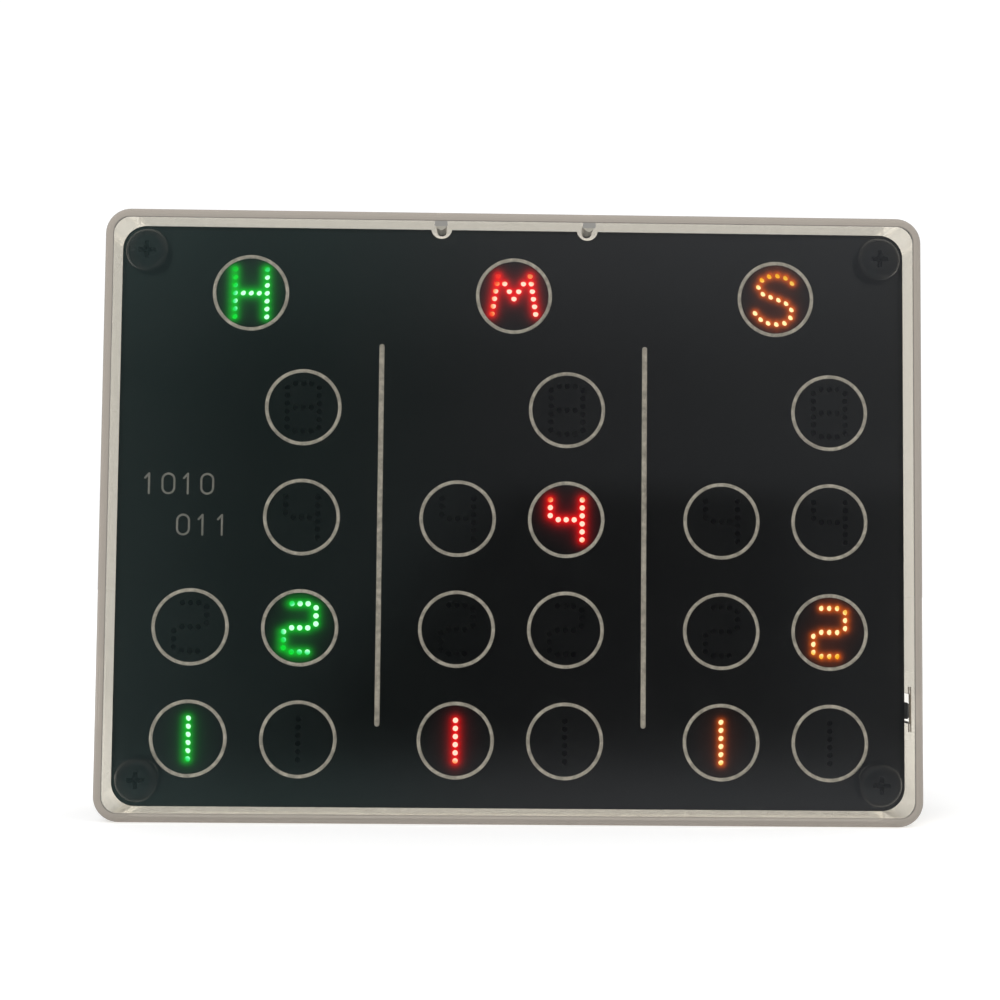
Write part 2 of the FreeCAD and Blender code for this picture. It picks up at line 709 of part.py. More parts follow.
# ---------------------------------------------------------------- chips and small parts
def gull_lead(height, width):
    """One bent lead that leaves a chip's side along +X and stands on the board at Y = 0."""
    t = LEAD_THICKNESS
    knee = LEAD_REACH / 2
    top = [(0, height + t), (knee, t), (LEAD_REACH, t)]
    underside = [(LEAD_REACH, 0), (knee - t, 0), (0, height)]
    outline = top + underside + top[:1]
    face = Part.Face(Part.makePolygon([vector(x, y, -width / 2) for x, y in outline]))
    return face.extrude(vector(0, 0, width))


def lead_row(count, pitch, reach, height, width, angle):
    """A row of leads along one side of a chip, turned about the chip's own axis."""
    leads = []
    for index in range(count):
        lead = gull_lead(height, width)
        lead.translate(vector(reach, 0, (index - (count - 1) / 2) * pitch))
        lead.rotate(vector(0, 0, 0), BACKWARD, angle)
        leads.append(lead)
    return leads


def chip(x, z, size, height, leads_per_side, pitch, lead_width, angles):
    """A moulded body with a pin-one dimple and rows of leads, on the main board's back."""
    width, length = size
    body = block((-width / 2, width / 2), (CHIP_STANDOFF, height), (-length / 2, length / 2))
    body = body.makeChamfer(height / 8, edges_at_y(body, height))
    dimple_inset = min(size) / 5
    dimple = rod(dimple_inset - width / 2, length / 2 - dimple_inset, (height - TINY * 5, height + TINY), 0.4)
    solids = [body.cut(dimple)]
    for angle in angles:
        solids += lead_row(leads_per_side, pitch, width / 2, height / 2, lead_width, angle)
    part = Part.makeCompound(solids)
    part.translate(vector(x, MAIN_BACK_Y, z))
    return part


def make_controller():
    side = (CONTROLLER_LEADS - 1) * CONTROLLER_LEAD_PITCH + 2 * CONTROLLER_END
    return chip(
        CONTROLLER_X, MIDDLE_Z + CONTROLLER_RISE, (side, side), CONTROLLER_HEIGHT,
        CONTROLLER_LEADS, CONTROLLER_LEAD_PITCH, CONTROLLER_LEAD_WIDTH, (0, 90, 180, 270),
    )


def small_chip(x, z):
    length = (SMALL_CHIP_LEADS - 1) * SMALL_CHIP_LEAD_PITCH + 2 * SMALL_CHIP_END
    return chip(
        x, z, (SMALL_CHIP_WIDTH, length), SMALL_CHIP_HEIGHT,
        SMALL_CHIP_LEADS, SMALL_CHIP_LEAD_PITCH, SMALL_CHIP_LEAD_WIDTH, (0, 180),
    )


def make_clock_chip():
    return small_chip(CLOCK_CHIP_X, MIDDLE_Z + CLOCK_CHIP_RISE)


def make_driver_chips():
    xs = [DRIVER_MIDDLE_X + step * DRIVER_PITCH for step in (-1, 0, 1)]
    return Part.makeCompound([small_chip(x, MIDDLE_Z + DRIVER_RISE) for x in xs])


def make_crystal():
    """A low metal can with round ends on a thin base flange."""
    z = MIDDLE_Z + CRYSTAL_RISE

    def stadium(y_range, length, width):
        radius = width / 2
        straight = length / 2 - radius
        can = centred_block(CRYSTAL_X, z, 2 * straight, width, y_range)
        for side in (-1, 1):
            can = can.fuse(rod(CRYSTAL_X + side * straight, z, y_range, radius))
        return can.removeSplitter()

    flange_top = MAIN_BACK_Y + CRYSTAL_HEIGHT / 6
    inset = CRYSTAL_HEIGHT / 9
    flange = stadium((MAIN_BACK_Y, flange_top), CRYSTAL_LENGTH, CRYSTAL_WIDTH)
    can_range = (MAIN_BACK_Y, MAIN_BACK_Y + CRYSTAL_HEIGHT)
    can = stadium(can_range, CRYSTAL_LENGTH - 2 * inset, CRYSTAL_WIDTH - 2 * inset)
    return flange.fuse(can.makeChamfer(inset, edges_at_y(can, can_range[1])))


def make_capacitor():
    """An aluminium can on a square base, with the crimp groove above the base."""
    base_top = MAIN_BACK_Y + CAPACITOR_BASE
    top = MAIN_BACK_Y + CAPACITOR_HEIGHT
    groove = (base_top + CAPACITOR_BASE / 2, base_top + CAPACITOR_BASE)
    side = 2 * CAPACITOR_RADIUS
    z = MIDDLE_Z + CAPACITOR_RISE
    base = centred_block(CAPACITOR_X, z, side, side, (MAIN_BACK_Y, base_top))
    can = rod(CAPACITOR_X, z, (base_top, top), CAPACITOR_RADIUS)
    can = can.makeChamfer(CAPACITOR_RADIUS / 10, edges_at_y(can, top))
    can = can.cut(sleeve(CAPACITOR_X, z, groove, CAPACITOR_RADIUS + WALL, CAPACITOR_RADIUS * 0.93))
    return base.fuse(can)


def make_resistors():
    first = RESISTOR_X - (RESISTOR_COUNT - 1) * RESISTOR_PITCH / 2
    z = MIDDLE_Z + RESISTOR_RISE
    y_range = (MAIN_BACK_Y, MAIN_BACK_Y + RESISTOR_HEIGHT)
    return Part.makeCompound(
        [
            centred_block(first + i * RESISTOR_PITCH, z, RESISTOR_WIDTH, RESISTOR_LENGTH, y_range)
            for i in range(RESISTOR_COUNT)
        ]
    )


# ---------------------------------------------------------------- every part
def all_parts():
    hours_x, minutes_x, mode_x = BUTTON_XS
    return {
        "front_cover": make_front_cover(),
        "rear_case": make_rear_case(),
        "display_board": make_display_board(),
        "light_baffle": make_light_baffle(),
        "main_board": make_main_board(),
        "corner_screws": make_screws(),
        "board_spacers": make_spacers(),
        "threaded_inserts": make_threaded_inserts(),
        "hour_leds": make_leds("hours"),
        "minute_leds": make_leds("minutes"),
        "second_leds": make_leds("seconds"),
        "slide_switch_body": make_slide_switch_body(),
        "slide_switch_lever": make_slide_switch_lever(),
        "button_housings": make_button_housings(),
        "hour_button": make_button(hours_x),
        "minute_button": make_button(minutes_x),
        "mode_button": make_button(mode_x),
        "power_inlet_shell": make_inlet_shell(),
        "power_inlet_tongue": make_inlet_tongue(),
        "coin_cell": make_coin_cell(),
        "coin_cell_holder": make_coin_cell_holder(),
        "coin_cell_clip": make_coin_cell_clip(),
        "controller_chip": make_controller(),
        "clock_chip": make_clock_chip(),
        "driver_chips": make_driver_chips(),
        "crystal": make_crystal(),
        "capacitor": make_capacitor(),
        "resistors": make_resistors(),
    }


def main():
    os.makedirs("parts", exist_ok=True)
    for name, shape in all_parts().items():
        if not shape.isValid():
            raise ValueError(f"{name} isn't a valid shape")
        shape.exportStep(f"parts/{name}.step")
        print(f"{name}: {len(shape.Solids)} solids, {shape.Volume:.1f} mm3")


main()
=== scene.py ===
import math

import bmesh
import bpy
import numpy as np
from mathutils import Matrix, Vector
from mathutils.geometry import delaunay_2d_cdt


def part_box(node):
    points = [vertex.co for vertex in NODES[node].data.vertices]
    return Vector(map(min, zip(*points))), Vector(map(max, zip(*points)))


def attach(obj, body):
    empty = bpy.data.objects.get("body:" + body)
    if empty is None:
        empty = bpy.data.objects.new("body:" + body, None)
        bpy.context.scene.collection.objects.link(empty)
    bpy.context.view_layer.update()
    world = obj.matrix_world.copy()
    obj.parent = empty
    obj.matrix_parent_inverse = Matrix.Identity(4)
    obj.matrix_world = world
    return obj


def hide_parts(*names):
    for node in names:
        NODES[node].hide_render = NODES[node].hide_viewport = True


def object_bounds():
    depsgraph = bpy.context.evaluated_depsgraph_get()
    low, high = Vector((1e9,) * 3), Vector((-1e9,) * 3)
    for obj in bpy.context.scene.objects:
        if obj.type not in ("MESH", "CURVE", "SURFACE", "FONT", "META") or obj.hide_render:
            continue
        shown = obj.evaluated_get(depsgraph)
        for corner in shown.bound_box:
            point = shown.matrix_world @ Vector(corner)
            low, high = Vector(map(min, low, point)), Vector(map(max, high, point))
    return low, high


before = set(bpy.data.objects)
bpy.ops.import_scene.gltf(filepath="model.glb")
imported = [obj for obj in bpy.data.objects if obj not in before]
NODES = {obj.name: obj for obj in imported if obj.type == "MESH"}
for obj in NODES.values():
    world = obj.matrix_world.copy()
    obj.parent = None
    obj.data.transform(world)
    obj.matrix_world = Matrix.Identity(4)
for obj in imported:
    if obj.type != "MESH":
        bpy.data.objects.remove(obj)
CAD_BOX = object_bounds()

# ---------------------------------------------------------------- sizes, in metres
MM = 0.001
BOARD_LOW, BOARD_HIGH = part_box("display_board")
PANEL_Y = BOARD_LOW.y
MAIN_BACK_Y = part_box("main_board")[1].y
CASE_MIDDLE = (CAD_BOX[0] + CAD_BOX[1]) / 2

# The time that the lights show, as tens and units for each group, and each group's light.
# Pale is the middle of an LED's light on its disc, mid and deep the light further out.
# Halo is the light that leaks through the board round a hole. It starts at level and fades
# with reach, in millimetres. Side glow is the share of a soft second halo of painted light
# set beside it, and wash the faint light inside a lit ring. Body is the LED's own colour.
LIGHTS = {
    "hour_leds": dict(letter="H", tens=1, units=2, slot="green_led", pale=(0.74, 1.48, 1.00),
                      mid=(0.02, 1.0, 0.38), deep=(0.0, 0.78, 0.03), halo=(0.0, 1.0, 0.03),
                      level=0.34, reach=0.28, side_glow=0.10, wash=(0.0, 0.006, 0.001),
                      body=(0.74, 0.78, 0.72)),
    "minute_leds": dict(letter="M", tens=1, units=4, slot="red_led", pale=(1.48, 0.86, 0.70),
                        mid=(1.1, 0.38, 0.05), deep=(0.95, 0.02, 0.01), halo=(1.0, 0.0, 0.0),
                        level=0.70, reach=0.29, side_glow=0.0, wash=(0.006, 0.0, 0.0004),
                        body=(0.78, 0.74, 0.72)),
    "second_leds": dict(letter="S", tens=1, units=2, slot="amber_led", pale=(1.35, 1.05, 0.55),
                        mid=(1.05, 0.64, 0.02), deep=(1.0, 0.44, 0.0), halo=(1.0, 0.15, 0.0),
                        level=0.52, reach=0.21, side_glow=0.0, wash=(0.006, 0.0008, 0.0),
                        body=(0.78, 0.76, 0.68)),
}
CHIPS = ("driver_chips", "clock_chip", "controller_chip")


# ---------------------------------------------------------------- shapes
def middle_of(low, high):
    """The middle of a box, as x and z."""
    return (low.x + high.x) / 2, (low.z + high.z) / 2


def edges_of(loop):
    """Each item of a closed loop with the next."""
    return zip(loop, loop[1:] + loop[:1])


def circle(x, z, radius, sides, turn=0.0):
    """Points round a circle in the x, z plane."""
    return [(x + radius * math.cos(math.tau * (k + turn) / sides),
             z + radius * math.sin(math.tau * (k + turn) / sides)) for k in range(sides)]


def ring(x, y, z, radii):
    """A row of points round an axis along y, one for each radius."""
    angles = [math.tau * k / len(radii) for k in range(len(radii))]
    return [(x + radius * math.cos(angle), y, z + radius * math.sin(angle))
            for radius, angle in zip(radii, angles)]


def turned(x, z, profile, sides):
    """Round rows of points about an axis along y, one for each radius and y."""
    return [ring(x, y, z, [radius] * sides) for radius, y in profile]


def loft(rows, first=True, last=True):
    """The vertices and faces of a shape through closed rows. Its ends are flat faces or open."""
    count = len(rows[0])
    end = (len(rows) - 1) * count
    faces = []
    for row in range(0, end, count):
        for k, after in edges_of(list(range(row, row + count))):
            faces.append([k, k + count, after + count, after])
    if first:
        faces.append(list(range(count)))
    if last:
        faces.append(list(range(end, end + count)))
    return [point for row in rows for point in row], faces


def mesh_object(name, vertices, faces, smooth=False):
    """A new object made of these vertices and faces."""
    mesh = bpy.data.meshes.new(name)
    mesh.from_pydata([tuple(v) for v in vertices], [], faces)
    mesh.validate()
    mesh.update()
    for polygon in mesh.polygons:
        polygon.use_smooth = smooth
    made = bpy.data.objects.new(name, mesh)
    bpy.context.scene.collection.objects.link(made)
    return made


def closed_object(name, shapes, smooth=False):
    """One object of several shapes, with their seams merged and every face turned outward."""
    vertices, faces = [], []
    for more_vertices, more_faces in shapes:
        start = len(vertices)
        vertices += more_vertices
        faces += [[start + i for i in face] for face in more_faces]
    made = mesh_object(name, vertices, faces, smooth)
    mesh = bmesh.new()
    mesh.from_mesh(made.data)
    bmesh.ops.remove_doubles(mesh, verts=mesh.verts, dist=1e-8)
    bmesh.ops.recalc_face_normals(mesh, faces=mesh.faces)
    mesh.to_mesh(made.data)
    mesh.free()
    return made


def paint_glow(made, colours):
    """Stores a colour at each vertex, which the glowing materials give off as light."""
    layer = made.data.color_attributes.new("glow", "FLOAT_COLOR", "POINT")
    layer.data.foreach_set("color", np.array(colours, np.float32).ravel())


def triangles_in(loops, extra=()):
    """Triangles between the points of closed loops: the places, the triangles, their middles."""
    points, edges = [], []
    for loop in loops:
        edges += edges_of(list(range(len(points), len(points) + len(loop))))
        points += loop
    made = delaunay_2d_cdt([Vector(p) for p in (*points, *extra)], edges, [], 0, 1e-8, False)
    places = [(p.x, p.y) for p in made[0]]
    middles = [[sum(places[i][axis] for i in t) / 3 for axis in (0, 1)] for t in made[2]]
    return places, made[2], np.array(middles)


def inside(points, loop):
    """Which of the points lie inside the loop, by the even-odd rule."""
    px, pz = points[:, 0], points[:, 1]
    odd = np.zeros(len(points), bool)
    for (x1, z1), (x2, z2) in edges_of(loop):
        if z1 != z2:
            crosses = (z1 > pz) != (z2 > pz)
            odd ^= crosses & (px < (x2 - x1) * (pz - z1) / (z2 - z1) + x1)
    return odd


def place_key(point):
    """A point's place to the nearest tenth of a micron, to match split vertices."""
    return tuple(round(value * 1e7) for value in point)


def solids_of(node):
    """Each separate solid in a node: its polygons, and its lowest and highest corner."""
    mesh = NODES[node].data
    keys = [place_key(v.co) for v in mesh.vertices]
    parent = {key: key for key in keys}

    def top(key):
        while parent[key] != key:
            parent[key] = parent[parent[key]]
            key = parent[key]
        return key

    for polygon in mesh.polygons:
        first = top(keys[polygon.vertices[0]])
        for index in polygon.vertices[1:]:
            parent[top(keys[index])] = first
    groups = {}
    for polygon in mesh.polygons:
        groups.setdefault(top(keys[polygon.vertices[0]]), []).append(polygon)
    solids = []
    for polygons in groups.values():
        points = [mesh.vertices[i].co for p in polygons for i in p.vertices]
        low = Vector([min(p[axis] for p in points) for axis in range(3)])
        high = Vector([max(p[axis] for p in points) for axis in range(3)])
        solids.append((polygons, low, high))
    return solids


def boxes_of(node):
    """The lowest and highest corner of each solid in a node."""
    return [(low, high) for _, low, high in solids_of(node)]


# ---------------------------------------------------------------- cells and their dots
def cells():
    """Each cell's group, middle, character and whether it is lit, from the LEDs."""
    found = []
    for group, light in LIGHTS.items():
        middles = [middle_of(*box) for box in boxes_of(group)]
        rows = sorted({round(z, 5) for _, z in middles})
        group_x = (min(x for x, _ in middles) + max(x for x, _ in middles)) / 2
        for x, z in middles:
            if abs(x - group_x) < MM:
                found.append((group, x, z, light["letter"], True))
            else:
                digit = 2 ** rows.index(round(z, 5))
                value = light["tens"] if x < group_x else light["units"]
                found.append((group, x, z, digit, bool(digit & value)))
    return found


def across(y):
    """Three dots side by side, in dot pitches."""
    return [(-1, y), (0, y), (1, y)]


def upright(x, low, high):
    """Dots one below the other, in dot pitches."""
    return [(x, high - step) for step in range(round(high - low) + 1)]


DOT_PITCH = 1.016 * MM
SEGMENTS = {
    "a": across(3), "g": across(0), "d": across(-3),
    "b": upright(2, 0.5, 2.5), "c": upright(2, -2.5, -0.5),
    "f": upright(-2, 0.5, 2.5), "e": upright(-2, -2.5, -0.5),
}
DIGIT_SEGMENTS = {2: "abged", 4: "fgbc", 8: "abcdefg"}
# The guide of the S and the M's leg, V and point are in millimetres from the cell's middle.
S_GUIDE = (
    (2.18, 2.14), (1.30, 2.83), (0.10, 3.08), (-1.35, 2.78), (-2.15, 1.75),
    (-1.60, 0.72), (0.0, 0.12), (1.60, -0.62), (2.18, -1.75), (1.45, -2.92),
    (0.0, -3.2), (-1.55, -2.82), (-2.58, -1.80),
)
S_DOTS = 17
M_LEG = ((2.05, 2.6), (2.8, -2.3))
M_LEG_DOTS = 6
M_VEE = ((1.2, 1.6), (0.6, 0.6))
M_POINT = (0, -0.35)


def smooth_line(guide, steps=12):
    """Points along a smooth curve through the guide points."""
    points = [Vector(p) for p in guide]
    points = [2 * points[0] - points[1], *points, 2 * points[-1] - points[-2]]
    line = []
    for a, b, c, d in zip(points, points[1:], points[2:], points[3:]):
        for step in range(steps):
            t = step / steps
            line.append(0.5 * (2 * b + (c - a) * t + (2 * a - 5 * b + 4 * c - d) * t ** 2
                               + (3 * b - a - 3 * c + d) * t ** 3))
    line.append(points[-2])
    return line


def spaced(line, count):
    """Points at even spacing along a line."""
    lengths = [0.0]
    for a, b in zip(line, line[1:]):
        lengths.append(lengths[-1] + (b - a).length)
    wanted = [lengths[-1] * step / (count - 1) for step in range(count)]
    return list(zip(*[np.interp(wanted, lengths, [p[axis] for p in line]) for axis in (0, 1)]))


def dots_of(character):
    """The character's dots, in metres from the cell's middle, x right and y up."""
    if character == "S":
        return [(x * MM, y * MM) for x, y in spaced(smooth_line(S_GUIDE), S_DOTS)]
    if character == "M":
        half = (*spaced([Vector(p) for p in M_LEG], M_LEG_DOTS), *M_VEE)
        dots = [(side * x, y) for side in (-1, 1) for x, y in half] + [M_POINT]
        return [(x * MM, y * MM) for x, y in dots]
    if character == "H":
        grid = upright(-2, -3, 3) + upright(2, -3, 3) + across(0)
    elif character == 1:
        grid = upright(0, -2.5, 2.5)
    else:
        grid = [dot for name in DIGIT_SEGMENTS[character] for dot in SEGMENTS[name]]
    return [(x * DOT_PITCH, y * DOT_PITCH) for x, y in grid]


CELLS = cells()
DOTS = [(x + dx, z + dz, group, lit)
        for group, x, z, character, lit in CELLS for dx, dz in dots_of(character)]

# ---------------------------------------------------------------- display board
DOT_RADIUS = 0.34 * MM
DOT_BACK_RADIUS = 0.46 * MM
DOT_SIDES = 14
RING_RADIUS = 4.65 * MM
RING_SIDES = 72
SCREW_HOLES = 4
NEARLY = 0.99
GLOW_GRID = 0.34 * MM
HALO_RADIUS = 0.47 * MM
WASH_REACH = 1.5 * MM
SIDE_GLOW_REACH = 0.55 * MM
SIDE_GLOW_SHIFT = (-0.5 * MM, -0.05 * MM)
WALL_GLOW = 0.55


def front_loops(node, y):
    """The closed outlines of a node's flat face at y, as lists of (x, z)."""
    mesh = NODES[node].data
    seen = {}
    for polygon in mesh.polygons:
        corners = [mesh.vertices[i].co for i in polygon.vertices]
        if any(abs(c.y - y) > 1e-6 for c in corners):
            continue
        for a, b in edges_of([(round(c.x, 7), round(c.z, 7)) for c in corners]):
            if (b, a) in seen:
                del seen[(b, a)]
            else:
                seen[(a, b)] = True
    follow = {a: b for a, b in seen}
    loops = []
    while follow:
        start = next(iter(follow))
        loop = [start]
        step = follow.pop(start)
        while step != start:
            loop.append(step)
            step = follow.pop(step)
        loops.append(loop)
    return loops


def glow_points():
    """Extra points inside the lit rings, close enough to carry each dot's halo."""
    points = []
    for x, z, _, lit in DOTS:
        if lit:
            points += circle(x, z, HALO_RADIUS, DOT_SIDES, 0.5)
    dots = np.array([(x, z) for x, z, _, lit in DOTS if lit])
    reach = range(-int(RING_RADIUS / GLOW_GRID), int(RING_RADIUS / GLOW_GRID) + 1)
    for _, x, z, _, lit in CELLS:
        if not lit:
            continue
        points += circle(x, z, RING_RADIUS, RING_SIDES)
        # A grid of triangles, with every other row half a step along.
        for i, j in ((i, j) for i in reach for j in reach):
            px = x + (i + 0.5 * (j % 2)) * GLOW_GRID
            pz = z + j * GLOW_GRID * math.sqrt(0.75)
            gap = np.hypot(dots[:, 0] - px, dots[:, 1] - pz).min()
            if (math.hypot(px - x, pz - z) <= RING_RADIUS - GLOW_GRID / 2
                    and gap > HALO_RADIUS + GLOW_GRID / 4):
                points.append((px, pz))
    return points


def halo_colours(points):
    """The light that leaks through the board round its lit holes, at each point."""
    points = np.array(points)
    colours = np.zeros((len(points), 4), np.float32)

    def distance(x, z):
        return np.hypot(points[:, 0] - x, points[:, 1] - z)

    for x, z, group, lit in DOTS:
        if not lit:
            continue
        light = LIGHTS[group]
        gap = np.maximum(distance(x, z) - DOT_RADIUS, 0)
        beside = distance(x + SIDE_GLOW_SHIFT[0], z + SIDE_GLOW_SHIFT[1])
        share = np.exp(-gap / (light["reach"] * MM)) * light["level"]
        # A second glow of painted light beside each dot, shifted to one side.
        share += np.exp(-(beside / SIDE_GLOW_REACH) ** 2) * light["side_glow"]
        wide = np.exp(-0.5 * (distance(x, z) / WASH_REACH) ** 2)
        for channel in range(3):
            colours[:, channel] += share * light["halo"][channel] + wide * light["wash"][channel]
    for _, x, z, _, lit in CELLS:
        if lit:
            colours[distance(x, z) < RING_RADIUS - GLOW_GRID / 4, 3] = 1
    return colours * colours[:, 3:]


def sheet(loops, extra, hole_radius):
    """A flat drilled face: its places and its triangles, which all turn one way."""
    places, triangles, middles = triangles_in(loops, extra)
    kept = inside(middles, loops[0])
    for loop in loops[1:SCREW_HOLES + 1]:
        kept &= ~inside(middles, loop)
    # A triangle in a light hole has its middle nearer than the hole's sides.
    reach = hole_radius * math.cos(math.pi / DOT_SIDES) * NEARLY
    for x, z, _, _ in DOTS:
        kept &= np.hypot(middles[:, 0] - x, middles[:, 1] - z) > reach
    turned_up = []
    for t, keep in zip(triangles, kept):
        if keep:
            a, b, c = (Vector(places[i]) for i in t)
            turned_up.append(t if (b - a).cross(c - a) > 0 else t[::-1])
    return places, turned_up


def make_display_board():
    """The drilled front board: its outline with every light hole, wider at the back."""
    plain = front_loops("display_board", PANEL_Y)
    plain.sort(key=lambda loop: max(p[0] for p in loop) - min(p[0] for p in loop), reverse=True)
    vertices, faces, colours, rims = [], [], [], []
    for y, radius in ((PANEL_Y, DOT_RADIUS), (BOARD_HIGH.y, DOT_BACK_RADIUS)):
        at_front = y == PANEL_Y
        loops = plain + [circle(x, z, radius, DOT_SIDES) for x, z, _, _ in DOTS]
        places, triangles = sheet(loops, glow_points() if at_front else [], radius)
        start = len(vertices)
        vertices += [(x, y, z) for x, z in places]
        faces += [[start + i for i in (t if at_front else t[::-1])] for t in triangles]
        colours += list(halo_colours(places)) if at_front else [np.zeros(4)] * len(places)
        rims.append(loops)
    # Each lit hole's wall gets painted light in its LED's colour; the outline's wall and unlit
    # holes get none.
    wall_glow = [(0.0, 0.0, 0.0)] * len(plain)
    wall_glow += [[WALL_GLOW * lit * c for c in LIGHTS[group]["halo"]] for _, _, group, lit in DOTS]
    # The wall round the outline faces away from its loop, and a hole's wall into it.
    for number, (front, back, colour) in enumerate(zip(*rims, wall_glow)):
        area = sum(a[0] * b[1] - b[0] * a[1] for a, b in edges_of(front))
        outward = (area > 0) == (number == 0)
        start = len(vertices)
        wall, quads = loft([[(x, PANEL_Y, z) for x, z in front],
                            [(x, BOARD_HIGH.y, z) for x, z in back]], first=False, last=False)
        vertices += wall
        faces += [[start + i for i in (quad if outward else quad[::-1])] for quad in quads]
        colours += [np.array((*colour, 1.0))] * len(wall)
    board = mesh_object("drilled_display_board", vertices, faces)
    paint_glow(board, colours)
    return board


# ---------------------------------------------------------------- traces on the front board
DOME = ((0.5, 0.0), (0.42, 0.55), (0.22, 0.92), (0.0, 1.0))
BAR_CREST = 0.02
ARC_STEPS = 16
BAR_STEPS = 8
TRACE_RISE = 0.05 * MM
RING_STROKE = 0.46 * MM
SEPARATOR_TOP = 21.6 * MM
SEPARATOR_BOTTOM = 26.3 * MM
SEPARATOR_STROKE = 0.66 * MM
DIGIT_HEIGHT = 2.5 * MM
DIGIT_WIDTH = 1.5 * MM
DIGIT_GAP = 0.95 * MM
DIGIT_STROKE = 0.27 * MM
DIGIT_FLAG = (0.5 * MM, 0.55 * MM)
# Each row's text and its lower left corner.
DIGIT_ROWS = (("1010", -46.8 * MM, 40.9 * MM), ("011", -42.4 * MM, 35.7 * MM))


def ribbon(points, closed, stroke, rise=TRACE_RISE, base_y=PANEL_Y):
    """A low domed trace along points in the x, z plane, standing on base_y."""
    profile = [(-side, height) for side, height in DOME] + list(DOME[-2::-1])
    rows = []
    for k, point in enumerate(points):
        before = points[k - 1] if closed or k else point
        after = points[(k + 1) % len(points)] if closed or k < len(points) - 1 else point
        along = (Vector(after) - Vector(before)).normalized()
        side = Vector((along.y, -along.x))
        flat = [Vector(point) + side * (offset * stroke) for offset, _ in profile]
        rows.append([(p.x, base_y - height * rise, p.y) for p, (_, height) in zip(flat, profile)])
    if closed:
        rows.append(rows[0])
    return loft(rows, first=not closed, last=not closed)


def bar(low, high, stroke):
    """A straight trace on the front board between two points, with round ends."""
    low, high = Vector(low), Vector(high)
    along = (high - low).normalized()
    side = Vector((along.y, -along.x))
    angles = [math.pi * k / BAR_STEPS for k in range(BAR_STEPS + 1)]
    rows = []
    for level, height in (*DOME[:-1], (BAR_CREST, 1.0)):
        flat = [end + reach * level * stroke * (side * math.cos(a) + along * math.sin(a))
                for end, reach in ((high, 1), (low, -1)) for a in angles]
        rows.append([(p.x, PANEL_Y - height * TRACE_RISE, p.y) for p in flat])
    return loft(rows)


def make_rings():
    """The tinned ring round each cell."""
    rings = [ribbon(circle(x, z, RING_RADIUS, RING_SIDES), True, RING_STROKE)
             for _, x, z, _, _ in CELLS]
    return closed_object("cell_rings", rings, smooth=True)


def make_separators():
    """The two upright bars between the groups."""
    xs = sorted(x for _, x, _, character, _ in CELLS if isinstance(character, str))
    middle = (BOARD_LOW.z + BOARD_HIGH.z) / 2
    bars = []
    for left, right in zip(xs, xs[1:]):
        x = (left + right) / 2
        bars.append(bar((x, middle - SEPARATOR_BOTTOM), (x, middle + SEPARATOR_TOP),
                        SEPARATOR_STROKE))
    return closed_object("separator_bars", bars, smooth=True)


def digit_strokes(digit, x, z):
    """A plain 0 or 1 drawn with a thin stroke, from its lower left corner."""
    radius = DIGIT_WIDTH / 2
    middle, top = x + radius, z + DIGIT_HEIGHT
    if digit == "1":
        flag = (middle - DIGIT_FLAG[0], top - DIGIT_FLAG[1])
        return [bar(low, (middle, top), DIGIT_STROKE) for low in ((middle, z), flag)]
    loop = []
    for start, level in ((0, top - radius), (math.pi, z + radius)):
        angles = [start + math.pi * k / ARC_STEPS for k in range(ARC_STEPS + 1)]
        loop += [(middle + radius * math.cos(a), level + radius * math.sin(a)) for a in angles]
    return [ribbon(loop, True, DIGIT_STROKE)]


def make_digits():
    """Two short rows of plain binary digits at the left of the board."""
    strokes = []
    for text, x, z in DIGIT_ROWS:
        for place, digit in enumerate(text):
            strokes += digit_strokes(digit, x + place * (DIGIT_WIDTH + DIGIT_GAP), z)
    return closed_object("plain_digits", strokes, smooth=True)


# ---------------------------------------------------------------- lit cups behind the cells
CUP_RADIUS = 4.2 * MM
CUP_WALL = 0.2 * MM
CUP_RINGS = 28
CUP_SIDES = 48
CUP_DEPTH = 3.85 * MM
CUP_GAP = 0.1 * MM
CUP_FLOOR = 0.3 * MM
CUP_SIDE_ROWS = 4
HOT_RADIUS = 3.3 * MM
HOT_EDGE = 0.12 * MM
MID_RADIUS = 3.65 * MM
HOT_SHIFT = (0.65 * MM, 0.1 * MM)
SIDE_LEVEL = 0.7


def step_down(distance, radius):
    """Falls smoothly from 1 inside the radius to 0 outside it."""
    return 1 / (1 + math.exp((distance - radius) / HOT_EDGE))


def make_diffusers(group, name):
    """The milky cup in each well, whose floor is bright where the LED behind it is on."""
    light = LIGHTS[group]
    rim_y = BOARD_HIGH.y + CUP_GAP
    floor_y = rim_y + CUP_DEPTH
    inner = CUP_RADIUS - CUP_WALL
    profile = [(inner * step / CUP_RINGS, floor_y) for step in range(1, CUP_RINGS + 1)]
    profile += [(inner, floor_y - CUP_DEPTH * row / CUP_SIDE_ROWS)
                for row in range(1, CUP_SIDE_ROWS + 1)]
    profile += [(CUP_RADIUS, rim_y), (CUP_RADIUS, floor_y + CUP_FLOOR)]
    cups, colours = [], []
    for owner, x, z, _, lit in CELLS:
        if owner != group:
            continue
        cups.append(loft(turned(x, z, profile, CUP_SIDES)))
        for px, y, pz in cups[-1][0]:
            distance = math.hypot(px - x - HOT_SHIFT[0], pz - z - HOT_SHIFT[1])
            hot, warm = step_down(distance, HOT_RADIUS), step_down(distance, MID_RADIUS)
            on = 0.0
            if lit and y <= floor_y:
                on = 1 - (1 - SIDE_LEVEL) * (floor_y - y) / CUP_DEPTH
            colours.append([on * (hot * pale + (warm - hot) * mid + (1 - warm) * deep)
                            for pale, mid, deep in
                            zip(light["pale"], light["mid"], light["deep"])] + [1.0])
    made = closed_object(name, cups)
    paint_glow(made, colours)
    return made


